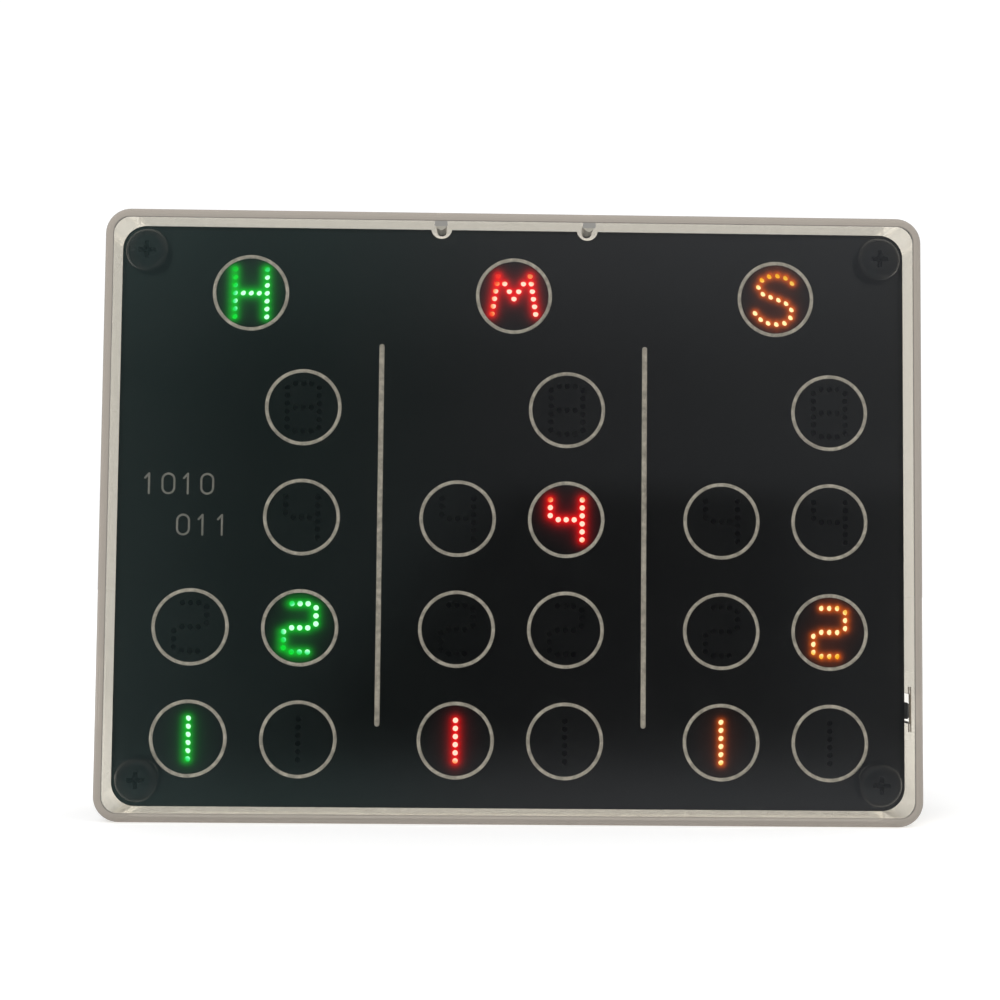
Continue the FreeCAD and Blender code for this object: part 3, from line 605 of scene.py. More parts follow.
# ---------------------------------------------------------------- the main board's back
# Rises are negative here, because this side faces the other way.
SOLDER_RISE = -0.05 * MM
TRACK_RISE = -0.035 * MM
MARK_RISE = -0.012 * MM
TRACK = 0.25 * MM
WIDE_TRACK = 0.9 * MM
MARK = 0.16 * MM
VIA_RADIUS = 0.26 * MM
VIA_STROKE = 0.2 * MM
VIA_SIDES = 12
VIA_CLEARANCE = 2.6 * MM
LED_VIA = 2.3 * MM
EDGE_VIA_INSET = 1.5 * MM
EDGE_VIA_PITCH = 6.0 * MM
EDGE_VIA_CORNER = 8.0 * MM
PAD_SLOPE = 0.04 * MM
LEAD_LIMIT = 2 * MM
LEAD_PAD = 1.1 * MM
LEAD_PAD_SHIFT = 0.35 * MM
LEAD_PAD_MARGIN = 0.14 * MM
LEAD_VIA = (1.75 * MM, 2.55 * MM)
LEG_INSET = 1.0 * MM
LEG_PAD = (2.4 * MM, 1.2 * MM)
INLET_PAD = (1.7 * MM, 1.5 * MM)
INLET_PAD_X = (-45.3 * MM, -48.6 * MM)
RESISTOR_PAD = (1.4 * MM, 1.2 * MM)
RESISTOR_PAD_SHIFT = 0.1 * MM
CHIP_MARGIN = 0.25 * MM
PART_MARGIN = 0.3 * MM
# In millimetres, like the places of the routes: the space between tracks side by side, and
# how far before its corner a track turns.
BUS_PITCH = 0.95
CLOCK_PITCH = 1.1
BEND = 1.5
# Each larger part's tabs, as shares of its width and height, and a tab's size.
TABS = {
    "crystal": (((0.0, 0.5), (1.0, 0.5)), 1.6 * MM, 1.1 * MM),
    "capacitor": (((0.5, 0.0), (0.5, 1.0)), 1.0 * MM, 1.8 * MM),
    "coin_cell_clip": (((0.0, 0.5), (1.0, 0.5)), 2.6 * MM, 5.8 * MM),
}
PADS, TRACKS, VIAS, MARKS = [], [], [], []


def pad(x, z, width, length):
    """A low tinned plate with sloping sides, round its middle."""
    rows = []
    for inset, rise in ((0, 0), (PAD_SLOPE, SOLDER_RISE)):
        out, up = width / 2 - inset, length / 2 - inset
        rows.append([(x + a * out, MAIN_BACK_Y - rise, z + b * up)
                     for a, b in ((-1, -1), (1, -1), (1, 1), (-1, 1))])
    PADS.append(loft(rows))


def via(x, z):
    """A small tinned ring."""
    VIAS.append(ribbon(circle(x, z, VIA_RADIUS, VIA_SIDES), True, VIA_STROKE, SOLDER_RISE,
                       MAIN_BACK_Y))


def track(points, stroke=TRACK):
    """A copper track under the mask."""
    TRACKS.append(ribbon(points, False, stroke, TRACK_RISE, MAIN_BACK_Y))


def route(points, ends, stroke=TRACK):
    """A track and the vias by its ends, from places in millimetres."""
    track([(x * MM, z * MM) for x, z in points], stroke)
    for x, z in ends:
        via(x * MM, z * MM)


def outline(low, high, gap):
    """A printed line round a part."""
    corners = [(low.x - gap, low.z - gap), (high.x + gap, low.z - gap),
               (high.x + gap, high.z + gap), (low.x - gap, high.z + gap)]
    MARKS.append(ribbon(corners, True, MARK, MARK_RISE, MAIN_BACK_Y))


def is_lead(low, high):
    """Whether a chip's solid is one of its leads, and not its body."""
    return min(high.x - low.x, high.z - low.z) < LEAD_LIMIT


def lay_chips():
    """Each lead's pad, a short track from it to a via, and the chips' outlines."""
    for node in CHIPS:
        boxes = boxes_of(node)
        bodies = [box for box in boxes if not is_lead(*box)]
        for number, (low, high) in enumerate(box for box in boxes if is_lead(*box)):
            x, z = middle_of(low, high)
            body = min(bodies, key=lambda box: math.dist(middle_of(*box), (x, z)))
            out = (x > body[1].x) - (x < body[0].x)
            up = (z > body[1].z) - (z < body[0].z)
            wide, long = LEAD_PAD, high.z - low.z + LEAD_PAD_MARGIN
            if up:
                wide, long = high.x - low.x + LEAD_PAD_MARGIN, LEAD_PAD
            pad(x + out * LEAD_PAD_SHIFT, z + up * LEAD_PAD_SHIFT, wide, long)
            reach = LEAD_VIA[number % 2]
            track([(x, z), (x + out * reach, z + up * reach)])
            via(x + out * reach, z + up * reach)
        if node != "controller_chip":
            for body in bodies:
                outline(*body, CHIP_MARGIN)


def lay_resistors():
    """The resistors' pads, and the tracks that leave their row."""
    for number, (low, high) in enumerate(sorted(boxes_of("resistors"), key=lambda box: box[0].x)):
        x, _ = middle_of(low, high)
        for z in (low.z - RESISTOR_PAD_SHIFT, high.z + RESISTOR_PAD_SHIFT):
            pad(x, z, *RESISTOR_PAD)
        x, level = x / MM, 34.6 + BUS_PITCH * number
        route([(x, 23.2), (x, level - BEND), (x - BEND, level), (15.2, level)], [(15.0, level)])
        route([(x, 20.8), (x, 19.6)], [(x, 19.5)])


def leg_places():
    """Where each button's four bent legs leave its housing, and the way that they point."""
    return [(x, way, z) for low, high in boxes_of("button_housings")
            for x, way in ((low.x, -1), (high.x, 1))
            for z in (low.z + LEG_INSET, high.z - LEG_INSET)]


def lay_tabs():
    """Pads of the larger parts, and their outlines."""
    for node, (tabs, width, length) in TABS.items():
        low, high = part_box(node)
        for share, height in tabs:
            pad(low.x + (high.x - low.x) * share, low.z + (high.z - low.z) * height, width, length)
        outline(*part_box("coin_cell_holder" if node == "coin_cell_clip" else node), PART_MARGIN)
    low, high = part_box("power_inlet_shell")
    for z in (low.z, high.z):
        for x in INLET_PAD_X:
            pad(x, z, *INLET_PAD)
    for x, _, z in leg_places():
        pad(x, z, *LEG_PAD)


def lay_power():
    """Wide tracks: from the inlet past the capacitor, and along the bottom to the drivers."""
    for points in ([(-43.2, 17.2), (-40.5, 17.2), (-38.0, 19.7), (-38.0, 22.6)],
                   [(-43.2, 12.8), (-40.0, 12.8), (-32.5, 5.3), (36.0, 5.3)],
                   [(-38.0, 29.4), (-38.0, 34.0), (-36.0, 36.0), (-36.0, 48.0), (-34.0, 50.0)],
                   [(-9.4, 52.0), (-4.0, 52.0), (-1.5, 49.5), (-1.5, 47.0)],
                   *[[(x, 5.3), (x, 7.0)] for x in (-24.0, 0.0, 24.0)]):
        route(points, points[-1:], WIDE_TRACK)


def lay_signals():
    """Tracks from each button and from the clock chip to the controller's side."""
    for number, x in enumerate((12.0, 24.0, 36.0)):
        level = 49.4 + BUS_PITCH * number
        route([(x, 58.2), (x, level + BEND), (x - BEND, level), (8.6, level)],
              [(8.4, level), (x, 58.4)])
    for step in range(3):
        level = 28.9 + CLOCK_PITCH * step
        start = level + 1.6
        route([(-14.0, start), (-9.0, start), (-7.4, level), (-1.6, level)],
              [(-14.2, start), (-1.4, level)])


def lay_vias():
    """Two vias behind each LED and a row along the board's edge, where no part is near."""
    low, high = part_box("main_board")
    places = []
    for axis, other in ((0, 2), (2, 0)):
        length = high[axis] - low[axis] - 2 * EDGE_VIA_CORNER
        count = int(length / EDGE_VIA_PITCH)
        for k in range(count + 1):
            along = low[axis] + EDGE_VIA_CORNER + k * length / count
            for off in (low[other] + EDGE_VIA_INSET, high[other] - EDGE_VIA_INSET):
                places.append((along, off) if axis == 0 else (off, along))
    places += [(x + side * LED_VIA, z) for _, x, z, _, _ in CELLS for side in (-1, 1)]
    room = Vector((VIA_CLEARANCE, 0, VIA_CLEARANCE))
    parts = [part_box(node) for node in
             (*CHIPS, "crystal", "capacitor", "resistors", "coin_cell_holder",
              "button_housings", "power_inlet_shell")]
    parts = [(low - room, high + room) for low, high in parts]
    for x, z in places:
        if not any(a.x < x < b.x and a.z < z < b.z for a, b in parts):
            via(x, z)


def make_board_back():
    """Pads, tracks, vias and outline marks on the back of the main board."""
    for lay in (lay_chips, lay_resistors, lay_tabs, lay_power, lay_signals, lay_vias):
        lay()
    return [closed_object("solder_pads", PADS), closed_object("copper_tracks", TRACKS),
            closed_object("via_rings", VIAS, smooth=True), closed_object("outline_marks", MARKS)]


# ---------------------------------------------------------------- pins, screws and inserts
# A pin's radius and rise, and the outline of a bent leg, in millimetres.
PIN_PROFILE = ((0.78, 0.0), (0.74, 0.10), (0.55, 0.28), (0.36, 0.48), (0.30, 0.60), (0.28, 0.85),
               (0.20, 0.92))
PIN_SIDES = 16
PIN_SHARES = (0.08, 0.29, 0.5, 0.71, 0.92)
LEG_OUTLINE = ((0.0, 1.15), (0.22, 1.15), (0.42, 0.95), (0.42, 0.36), (0.6, 0.22), (1.15, 0.22),
               (1.15, 0.05), (0.5, 0.05), (0.22, 0.28), (0.22, 0.85), (0.0, 0.95))
LEG_HALF = 0.35 * MM
SCREW_SIDES = 40
CROWN_RADIUS = 1.85 * MM
CROWN_DROP = 1.0 * MM
CROWN_STEPS = 6
HEAD_HEIGHT = 2.0 * MM
SHANK_RADIUS = 1.45 * MM
THREAD_PITCH = 0.5 * MM
THREAD_DEPTH = 0.22 * MM
THREAD_ROWS = 6
THREAD_LENGTH = 8.0 * MM
TIP_LENGTH = 0.45 * MM
RECESS_DEPTH = 1.3 * MM
CROSS_REACH = 1.08 * MM
CROSS_HALF = 0.31 * MM
FOOT_REACH = 0.55 * MM
FOOT_HALF = 0.22 * MM
RECESS_EDGE = 0.01 * MM
ARM_TAPER = 0.8
SHARP_ANGLE = 32
KNURLS = 26
KNURL_DEPTH = 0.11 * MM
KNURL_SIDES = 4 * KNURLS
KNURL_ROWS = 26
KNURL_LEAN = 1.6
INSERT_WALL = 0.6 * MM


def make_pins():
    """The slide switch's soldered pins, and the buttons' bent legs."""
    low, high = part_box("slide_switch_body")
    profile = [(radius * MM, MAIN_BACK_Y + rise * MM) for radius, rise in PIN_PROFILE]
    pins = [loft(turned((low.x + high.x) / 2, low.z + (high.z - low.z) * share, profile,
                        PIN_SIDES)) for share in PIN_SHARES]
    for x, way, z in leg_places():
        pins.append(loft([[(x + way * out * MM, MAIN_BACK_Y + up * MM, side)
                           for out, up in LEG_OUTLINE] for side in (z - LEG_HALF, z + LEG_HALF)]))
    return closed_object("soldered_pins", pins)


def cross(x, z, reach, half):
    """The outline of a cross with tapered arms that reach out from x, z."""
    points = []
    for turn in range(4):
        for a, b in ((half, half), (reach, half * ARM_TAPER), (reach, -half * ARM_TAPER)):
            for _ in range(turn):
                a, b = b, -a
            points.append((x + a, z + b))
    return points


def thread_radii(depth):
    """The threaded shank's radius round one turn, so far down the screw."""
    turns = [depth / THREAD_PITCH - k / SCREW_SIDES for k in range(SCREW_SIDES)]
    return [SHANK_RADIUS - THREAD_DEPTH * abs(2 * (turn % 1) - 1) for turn in turns]


def make_screws():
    """The black pan-head screws: domed heads with cross recesses, and threads at their ends."""
    shapes = []
    for low, high in boxes_of("corner_screws"):
        x, z = middle_of(low, high)
        head, length = (high.x - low.x) / 2, high.y - low.y
        profile = []
        for k in range(CROWN_STEPS + 1):
            angle = math.pi / 2 * k / CROWN_STEPS
            profile.append((CROWN_RADIUS + (head - CROWN_RADIUS) * math.sin(angle),
                            CROWN_DROP * (1 - math.cos(angle))))
        step = THREAD_PITCH / THREAD_ROWS
        count = int((THREAD_LENGTH - TIP_LENGTH) / step)
        depths = [length - TIP_LENGTH - step * k for k in range(count, -1, -1)]
        profile += [(head, HEAD_HEIGHT), (SHANK_RADIUS, HEAD_HEIGHT), (SHANK_RADIUS, depths[0])]
        rows = turned(x, z, [(radius, low.y + depth) for radius, depth in profile], SCREW_SIDES)
        rows += [ring(x, low.y + depth, z, thread_radii(depth)) for depth in depths[1:]]
        rows += turned(x, z, [(SHANK_RADIUS - TIP_LENGTH, low.y + length)], SCREW_SIDES)
        mouth = cross(x, z, CROSS_REACH, CROSS_HALF)
        foot = cross(x, z, FOOT_REACH, FOOT_HALF)
        places, triangles, middles = triangles_in([circle(x, z, CROWN_RADIUS, SCREW_SIDES), mouth])
        crown = [t for t, hole in zip(triangles, inside(middles, mouth)) if not hole]
        recess = [[(px, low.y + depth, pz) for px, pz in points]
                  for points, depth in ((mouth, 0.0), (foot, RECESS_DEPTH))]
        shapes += [loft(rows, first=False), ([(px, low.y, pz) for px, pz in places], crown),
                   loft(recess, first=False)]
    screws = closed_object("threaded_screws", shapes, smooth=True)
    screws.data.set_sharp_from_angle(angle=math.radians(SHARP_ANGLE))
    return screws


def paint_recess_shade(screws):
    """Gives the faces of the cross recesses the second finish, a darker black that is painted
    shade in the recesses.
    """
    for low, high in boxes_of("corner_screws"):
        for polygon in screws.data.polygons:
            x, y, z = polygon.center
            if (RECESS_EDGE < y - low.y < RECESS_DEPTH + RECESS_EDGE
                    and math.dist((x, z), middle_of(low, high)) < CROSS_REACH):
                polygon.material_index = 1


def make_inserts():
    """The brass inserts, with two bands of leaning knurls and a groove between them."""
    inserts = []
    for low, high in boxes_of("threaded_inserts"):
        x, z = middle_of(low, high)
        radius = (high.x - low.x) / 2
        rows = []
        for share in (row / KNURL_ROWS for row in range(KNURL_ROWS + 1)):
            off = abs(share - 0.5)
            band = min(off * KNURL_ROWS / 2, (0.5 - off) * KNURL_ROWS / 1.5, 1)
            lean = math.copysign(KNURL_LEAN, 0.5 - share) * math.tau * share
            waves = [0.5 + 0.5 * math.cos(KNURLS * math.tau * k / KNURL_SIDES + lean)
                     for k in range(KNURL_SIDES)]
            rows.append(ring(x, low.y + share * (high.y - low.y), z,
                             [radius - KNURL_DEPTH * (1 - band * wave) for wave in waves]))
        bore = radius - INSERT_WALL
        rows += [*turned(x, z, [(bore, high.y), (bore, low.y)], KNURL_SIDES), rows[0]]
        inserts.append(loft(rows, first=False, last=False))
    return closed_object("knurled_inserts", inserts)


# ---------------------------------------------------------------- shader nodes
def feed(socket, value):
    """Links a Value to an input, or sets the input to a plain value."""
    if isinstance(value, Value):
        value.tree.links.new(value.socket, socket)
    else:
        socket.default_value = (*value, 1.0) if socket.type == "RGBA" else value


def new_node(tree, kind, output, inputs=None, **settings):
    """What a new shader node gives out, with these inputs and settings."""
    made = tree.nodes.new("ShaderNode" + kind)
    for key, value in settings.items():
        setattr(made, key, value)
    for key, value in (inputs or {}).items():
        feed(made.inputs[key], value)
    return Value(made.outputs[output])


class Value:
    """What a shader node gives out. A sum with it makes a Math node."""

    def __init__(self, socket):
        self.socket = socket
        self.tree = socket.node.id_data

    def maths(self, operation, *others):
        inputs = dict(enumerate((self, *others)))
        return new_node(self.tree, "Math", 0, inputs, operation=operation)

    def __add__(self, other):
        return self.maths("ADD", other)

    def __sub__(self, other):
        return self.maths("SUBTRACT", other)

    def __rsub__(self, other):
        return new_node(self.tree, "Math", 0, {0: other, 1: self}, operation="SUBTRACT")

    def __mul__(self, other):
        return self.maths("MULTIPLY", other)

    def __truediv__(self, other):
        return self.maths("DIVIDE", other)

    def __abs__(self):
        return self.maths("ABSOLUTE")

    def at_least(self, other):
        return self.maths("MAXIMUM", other)


def parts_of(vector):
    """The x, y and z of a vector."""
    return [new_node(vector.tree, "SeparateXYZ", axis, {0: vector}) for axis in range(3)]


def object_place(tree, stretch=(1, 1, 1)):
    """The place on the piece, in millimetres times stretch."""
    return new_node(tree, "Mapping", 0, {"Vector": new_node(tree, "TexCoord", "Object"),
                                         "Scale": [share / MM for share in stretch]})


def noise(tree, size, detail=3.0, roughness=0.5, stretch=(1, 1, 1)):
    """Soft noise whose lumps are about size millimetres across."""
    return new_node(tree, "TexNoise", "Fac",
                    {"Vector": object_place(tree, stretch), "Scale": 1 / size,
                     "Detail": detail, "Roughness": roughness})


def spread(value, low, high, from_low=0.3, from_high=0.7, kind="LINEAR"):
    """Maps a value to the range from low to high, from where most noise lies if not told."""
    return new_node(value.tree, "MapRange", "Result",
                    {"Value": value, "From Min": from_low, "From Max": from_high,
                     "To Min": low, "To Max": high}, interpolation_type=kind)


def past(value, limit, soft):
    """1 where the value is past a limit, with a soft step up to it."""
    return spread(value, 0, 1, limit - soft, limit + soft)


def between(value, low, high, soft=0.02):
    """1 where the value lies between low and high, with soft ends."""
    return past(value, low, soft) * (1 - past(value, high, soft))


def blend(share, first, second):
    """The colour between two, by share."""
    return new_node(share.tree, "Mix", 2, {0: share, 6: first, 7: second}, data_type="RGBA")


def scaled(colour, share):
    """A colour times a number."""
    return new_node(share.tree, "VectorMath", 0, {0: colour, "Scale": share}, operation="SCALE")


def mixed(share, first, second):
    """The surface between two, by share."""
    return new_node(share.tree, "MixShader", 0, {0: share, 1: first, 2: second})


def path(tree, kind):
    """What is known of the ray's path."""
    return new_node(tree, "LightPath", kind)


def unmirrored(tree):
    """1 for a ray that no glossy surface has mirrored yet."""
    return path(tree, "Glossy Depth").maths("LESS_THAN", 0.5)


def new_material(name, **values):
    """A material with a Principled shader, whose inputs take these values."""
    material = bpy.data.materials.new(name)
    material.use_nodes = True
    shader = material.node_tree.nodes["Principled BSDF"]
    for socket, value in values.items():
        feed(shader.inputs[socket.replace("_", " ")], value)
    return material, material.node_tree, shader


def let_through(tree, shader, share, colour):
    """The material's surface is its shader, and by share a clear one of that colour."""
    clear = new_node(tree, "BsdfTransparent", 0, {0: colour})
    feed(tree.nodes["Material Output"].inputs["Surface"],
         mixed(share, Value(shader.outputs[0]), clear))


def tones(shader, lumps, dark, light):
    """The colour goes from dark to light with a noise."""
    feed(shader.inputs["Base Color"], blend(spread(lumps, 0, 1), dark, light))


def uneven(shader, lumps, low, high):
    """The roughness goes from low to high with a noise."""
    feed(shader.inputs["Roughness"], spread(lumps, low, high))


def bump(shader, height, depth_mm):
    """Bumps of that depth, from a height between 0 and 1."""
    feed(shader.inputs["Normal"], new_node(height.tree, "Bump", 0, {
        "Strength": 1.0, "Distance": depth_mm * MM, "Height": height}))


# ---------------------------------------------------------------- materials
# Places on the case are in millimetres.
CLEAR_TINT = (0.997, 0.967, 0.903)
CLEAR_TINT_MARKED = (0.988, 0.956, 0.89)
CLEAR_SHADOW = (0.92, 0.90, 0.86)
CLEAR_IOR = 1.49
RIM_HAZE_AND_PAINTED_LIGHT = (0.53, 0.475, 0.415)
HUNG_RIB_PAINTED_LIGHT = (0.84, 0.83, 0.80)
RIB_ROOT_PAINTED_SHADE = (0.33, 0.32, 0.30)
RIM_PAINTED_SHADE_LINE = (0.30, 0.27, 0.235)
EDGE_HAZE = 0.8
EDGE_FACING = (0.09, 0.95)
EDGE_BORDER = 1.3
SHADE_LINE_WIDTH = 0.17
FACE_THICKNESS = 1.0
CASE_CORNER = 3.2
SLOT_DEPTH = 1.125
SLOT_ROOM = (0.8, 2.0)
SLOT_FRONT = (-8.2, -7.6)
RIB_X = 9.35
RIB_HALF = 0.8
RIB_START = 1.6
RIB_END = -3.0
RIB_FALL = (4.0, 1.02)
RIB_ROOT = (74.8, 75.45)
ROOT_DEPTH = 0.55


def clear_plastic():
    """Clear moulded plastic, tinted a little, and cloudy at its rounded edges and key ribs, whose
    greys are partly painted light and shade.

    Lamps reach what is behind it."""
    material, tree, shader = new_material("clear_plastic", IOR=CLEAR_IOR)
    x, y, z = parts_of(object_place(tree))
    low, high = (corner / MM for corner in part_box("rear_case"))
    half, middle = (high - low) / 2, (high + low) / 2
    top, face = CAD_BOX[1].z / MM, CAD_BOX[1].y / MM

    # The border of the front and back faces, the slot's front edge, and every rounded edge.
    out_x, out_z = ((abs(place - middle[axis]) - (half[axis] - CASE_CORNER)).at_least(0.0)
                    for place, axis in ((x, 0), (z, 2)))
    out = (out_x * out_x + out_z * out_z).maths("SQRT")
    start = CASE_CORNER - EDGE_BORDER
    border = past(out, start + 0.05, 0.05) * past(abs(y), face - FACE_THICKNESS, 0.05)
    lever_low, lever_high = (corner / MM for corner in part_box("slide_switch_lever"))
    slot = (past(x, half.x - SLOT_DEPTH, 0.025) * between(y, *SLOT_FRONT)
            * between(z, lever_low.z - SLOT_ROOM[0], lever_high.z + SLOT_ROOM[1]))
    facing = abs(parts_of(new_node(tree, "TexCoord", "Normal"))[1])
    edge = border.at_least(slot).at_least(between(facing, *EDGE_FACING, 0.04)) * EDGE_HAZE

    # The key ribs: what hangs from the top wall, and the window where they join it. The hanging
    # rib's grey is painted lighter against its shade, and the root's darker, as painted shade.
    rib = between(abs(x), RIB_X - RIB_HALF, RIB_X + RIB_HALF)
    hung = (rib * between(y, RIB_START - face, RIB_END)
            * between(z, top - RIB_FALL[0], top - RIB_FALL[1], 0.01))
    root = rib * between(z, *RIB_ROOT) * (1 - past(y, ROOT_DEPTH - face, 0.05))

    # A thin line of painted shade along the inner edge of the grey border, where the clear wall's
    # inner edge looks dark.
    line = blend(between(out, start, start + SHADE_LINE_WIDTH, 0.03), RIM_HAZE_AND_PAINTED_LIGHT, RIM_PAINTED_SHADE_LINE)
    tint = blend(spread(noise(tree, 30.0, 2.0), 0, 1), CLEAR_TINT, CLEAR_TINT_MARKED)
    for share, colour in ((spread(edge, 0, 1, 0, EDGE_HAZE), line), (hung, HUNG_RIB_PAINTED_LIGHT),
                          (root, RIB_ROOT_PAINTED_SHADE)):
        tint = blend(share, tint, colour)
    feed(shader.inputs["Base Color"], tint)
    feed(shader.inputs["Transmission Weight"], 1 - edge.at_least(hung.at_least(root)))
    uneven(shader, noise(tree, 4.0, 2.0), 0.004, 0.016)
    bump(shader, noise(tree, 6.0, 2.0), 0.006)
    let_through(tree, shader, path(tree, "Is Shadow Ray"), CLEAR_SHADOW)
    return material


def glowing(material, tree, shader):
    """The shader gives off the light in the mesh's glow attribute, and no reflection of it."""
    glow = new_node(tree, "Attribute", "Color", attribute_name="glow")
    feed(shader.inputs["Emission Color"], glow)
    feed(shader.inputs["Emission Strength"], unmirrored(tree))
    material.cycles.emission_sampling = "NONE"


def front_mask():
    """Glossy black solder mask, with the light that leaks round the lit holes."""
    material, tree, shader = new_material("front_mask", IOR=1.52)
    tones(shader, noise(tree, 14.0), (0.0025, 0.003, 0.0035), (0.004, 0.0045, 0.005))
    uneven(shader, noise(tree, 5.0, 1.0), 0.12, 0.18)
    bump(shader, noise(tree, 4.0, 1.0), 0.001)
    glowing(material, tree, shader)
    return material


def black_mask(name, dark, light):
    """Satin black solder mask, with slow waves in it."""
    material, tree, shader = new_material(name, IOR=1.5)
    tones(shader, noise(tree, 9.0, 4.0), dark, light)
    uneven(shader, noise(tree, 5.0, 1.0), 0.27, 0.36)
    bump(shader, noise(tree, 5.0, 1.0), 0.002)
    return material


def plain_finish(name, dark, light, rough, lump, metal=0.0, depth=0.004, grain=0.4,
                 stretch=(1, 1, 1)):
    """A finish with two close tones, uneven roughness and a fine grain."""
    material, tree, shader = new_material(name, Metallic=metal)
    tones(shader, noise(tree, lump, 4.0, 0.55, stretch), dark, light)
    uneven(shader, noise(tree, lump * 0.5, 4.0, 0.6, stretch), *rough)
    bump(shader, noise(tree, grain, 3.0, 0.6, stretch), depth)
    return material


def milky():
    """The milky cup over an LED, which gives off the light of its glow attribute."""
    material, tree, shader = new_material("milky_cup", Roughness=0.5)
    tones(shader, noise(tree, 0.8), (0.045, 0.045, 0.043), (0.06, 0.06, 0.057))
    glowing(material, tree, shader)
    return material


def banded(name, axis, low, high, inner, outer):
    """Two finishes on one piece: inner between two places along an axis, outer past them.

    Each finish is its colour, its metallic share and its roughness."""
    material, tree, shader = new_material(name)
    share = between(parts_of(object_place(tree))[axis], low, high)
    tone = spread(noise(tree, 0.5, 4.0, 0.6), 0.82, 1.0)
    feed(shader.inputs["Base Color"], scaled(blend(share, outer[0], inner[0]), tone))
    feed(shader.inputs["Metallic"], spread(share, outer[1], inner[1], 0, 1))
    feed(shader.inputs["Roughness"], spread(share, outer[2], inner[2], 0, 1))
    bump(shader, noise(tree, 0.2, 3.0, 0.6), 0.004)
    return material


def dress(node, *materials):
    """Gives a CAD node its finishes. Its faces show the first."""
    slots = NODES[node].data.materials
    slots.clear()
    for material in materials:
        slots.append(material)


def dress_all(tin):
    """Finishes for the carried-over CAD nodes."""
    clear = clear_plastic()
    steel = plain_finish("stamped_steel", (0.36, 0.36, 0.355), (0.50, 0.50, 0.485), (0.27, 0.42),
                         1.5, metal=1.0)
    epoxy = plain_finish("chip_epoxy", (0.030, 0.030, 0.032), (0.043, 0.043, 0.045),
                         (0.5, 0.65), 1.0, depth=0.008, grain=0.12)
    keys = plain_finish("black_keys", (0.018, 0.018, 0.018), (0.030, 0.030, 0.030), (0.42, 0.6),
                        1.0, depth=0.006, grain=0.2)
    housing = plain_finish("switch_plastic", (0.022, 0.022, 0.024), (0.032, 0.032, 0.034),
                           (0.35, 0.5), 1.2, depth=0.004, grain=0.2)
    back_y = MAIN_BACK_Y / MM
    row_low, row_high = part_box("resistors")
    finish = {
        "front_cover": clear,
        "rear_case": clear,
        "main_board": black_mask("black_mask", (0.006, 0.007, 0.008), (0.011, 0.012, 0.013)),
        "light_baffle": plain_finish("black_foam", (0.010, 0.010, 0.010), (0.022, 0.022, 0.022),
                                     (0.8, 0.95), 1.5, depth=0.05, grain=0.3),
        "board_spacers": plain_finish("black_nylon", (0.016, 0.016, 0.017),
                                      (0.026, 0.026, 0.028), (0.45, 0.6), 1.5),
        "slide_switch_body": steel,
        "slide_switch_lever": keys,
        "button_housings": housing,
        "hour_button": keys,
        "minute_button": keys,
        "mode_button": keys,
        "power_inlet_shell": steel,
        "power_inlet_tongue": keys,
        "coin_cell": plain_finish("bright_nickel", (0.50, 0.49, 0.47), (0.64, 0.63, 0.60),
                                  (0.14, 0.28), 3.0, metal=1.0, depth=0.002),
        "coin_cell_holder": housing,
        "coin_cell_clip": steel,
        "crystal": steel,
        "capacitor": banded("capacitor_can", 1, back_y - 1.0, back_y + 1.02,
                            ((0.016, 0.016, 0.017), 0.0, 0.5), ((0.56, 0.56, 0.57), 1.0, 0.30)),
        "resistors": banded("resistor_ends", 2, row_low.z / MM + 0.35, row_high.z / MM - 0.35,
                            ((0.012, 0.012, 0.013), 0.0, 0.35), ((0.60, 0.59, 0.57), 1.0, 0.35)),
    }
    for node, material in finish.items():
        dress(node, material)
    for group, light in LIGHTS.items():
        darker = tuple(0.8 * c for c in light["body"])
        dress(group, plain_finish(light["slot"].replace("led", "body"), darker, light["body"],
                                  (0.3, 0.45), 0.8, depth=0.003))
    for node in CHIPS:
        dress(node, epoxy, tin)
        for polygons, low, high in solids_of(node):
            for polygon in polygons:
                polygon.material_index = int(is_lead(low, high))


# ---------------------------------------------------------------- stage
AMBIENT = 0.62
SEEN_WHITE = 1.08
FLOOR_SIZE = 6.0
FLOOR_LIFT = 0.30
CLEAR_LIFT = 0.40
FAR_LIFT = 0.10
NEAR_FLOOR = 0.06
FAR_FLOOR = 0.24
FRONT_FLOOR = (-0.02, 0.03)
WHITE = (1.0, 1.0, 1.0)
DIM_ROOM = 0.112
BEHIND = (0.46, 0.455, 0.445)
CAMERA_PLACE = (-4.78 * MM, -199.08 * MM, 30.40 * MM)
CAMERA_ANGLES = (-0.972, 3.028, 0.544)
CAMERA_LENS = 54
CAMERA_SENSOR = 36
CAMERA_START = 5 * MM


def make_floor():
    """A plain pale floor. Reflections look through its front half, at the dim room. Seen through
    clear plastic, it gives off painted light that is strongest near the case.
    """
    bpy.ops.mesh.primitive_plane_add(size=FLOOR_SIZE, location=(0, 0, CAD_BOX[0].z))
    floor = bpy.context.object
    floor.name = "floor"
    material, tree, shader = new_material("pale_floor", Roughness=0.9, Specular_IOR_Level=0.1,
                                          Emission_Color=WHITE)
    tones(shader, noise(tree, 60.0), (0.94, 0.94, 0.94), (0.96, 0.96, 0.96))
    place = new_node(tree, "NewGeometry", "Position")
    # Painted light: rays through clear plastic see the floor glow more near the case, lightening
    # the case's shadow there.
    away = new_node(tree, "VectorMath", "Value", {0: place}, operation="LENGTH")
    lift = spread(away, CLEAR_LIFT, FAR_LIFT, NEAR_FLOOR, FAR_FLOOR)
    feed(shader.inputs["Emission Strength"], path(tree, "Is Camera Ray") * FLOOR_LIFT
         + path(tree, "Is Transmission Ray") * unmirrored(tree) * lift)
    ahead = spread(parts_of(place)[1], 1, 0, *FRONT_FLOOR)
    let_through(tree, shader, (1 - unmirrored(tree)) * ahead, WHITE)
    floor.data.materials.append(material)


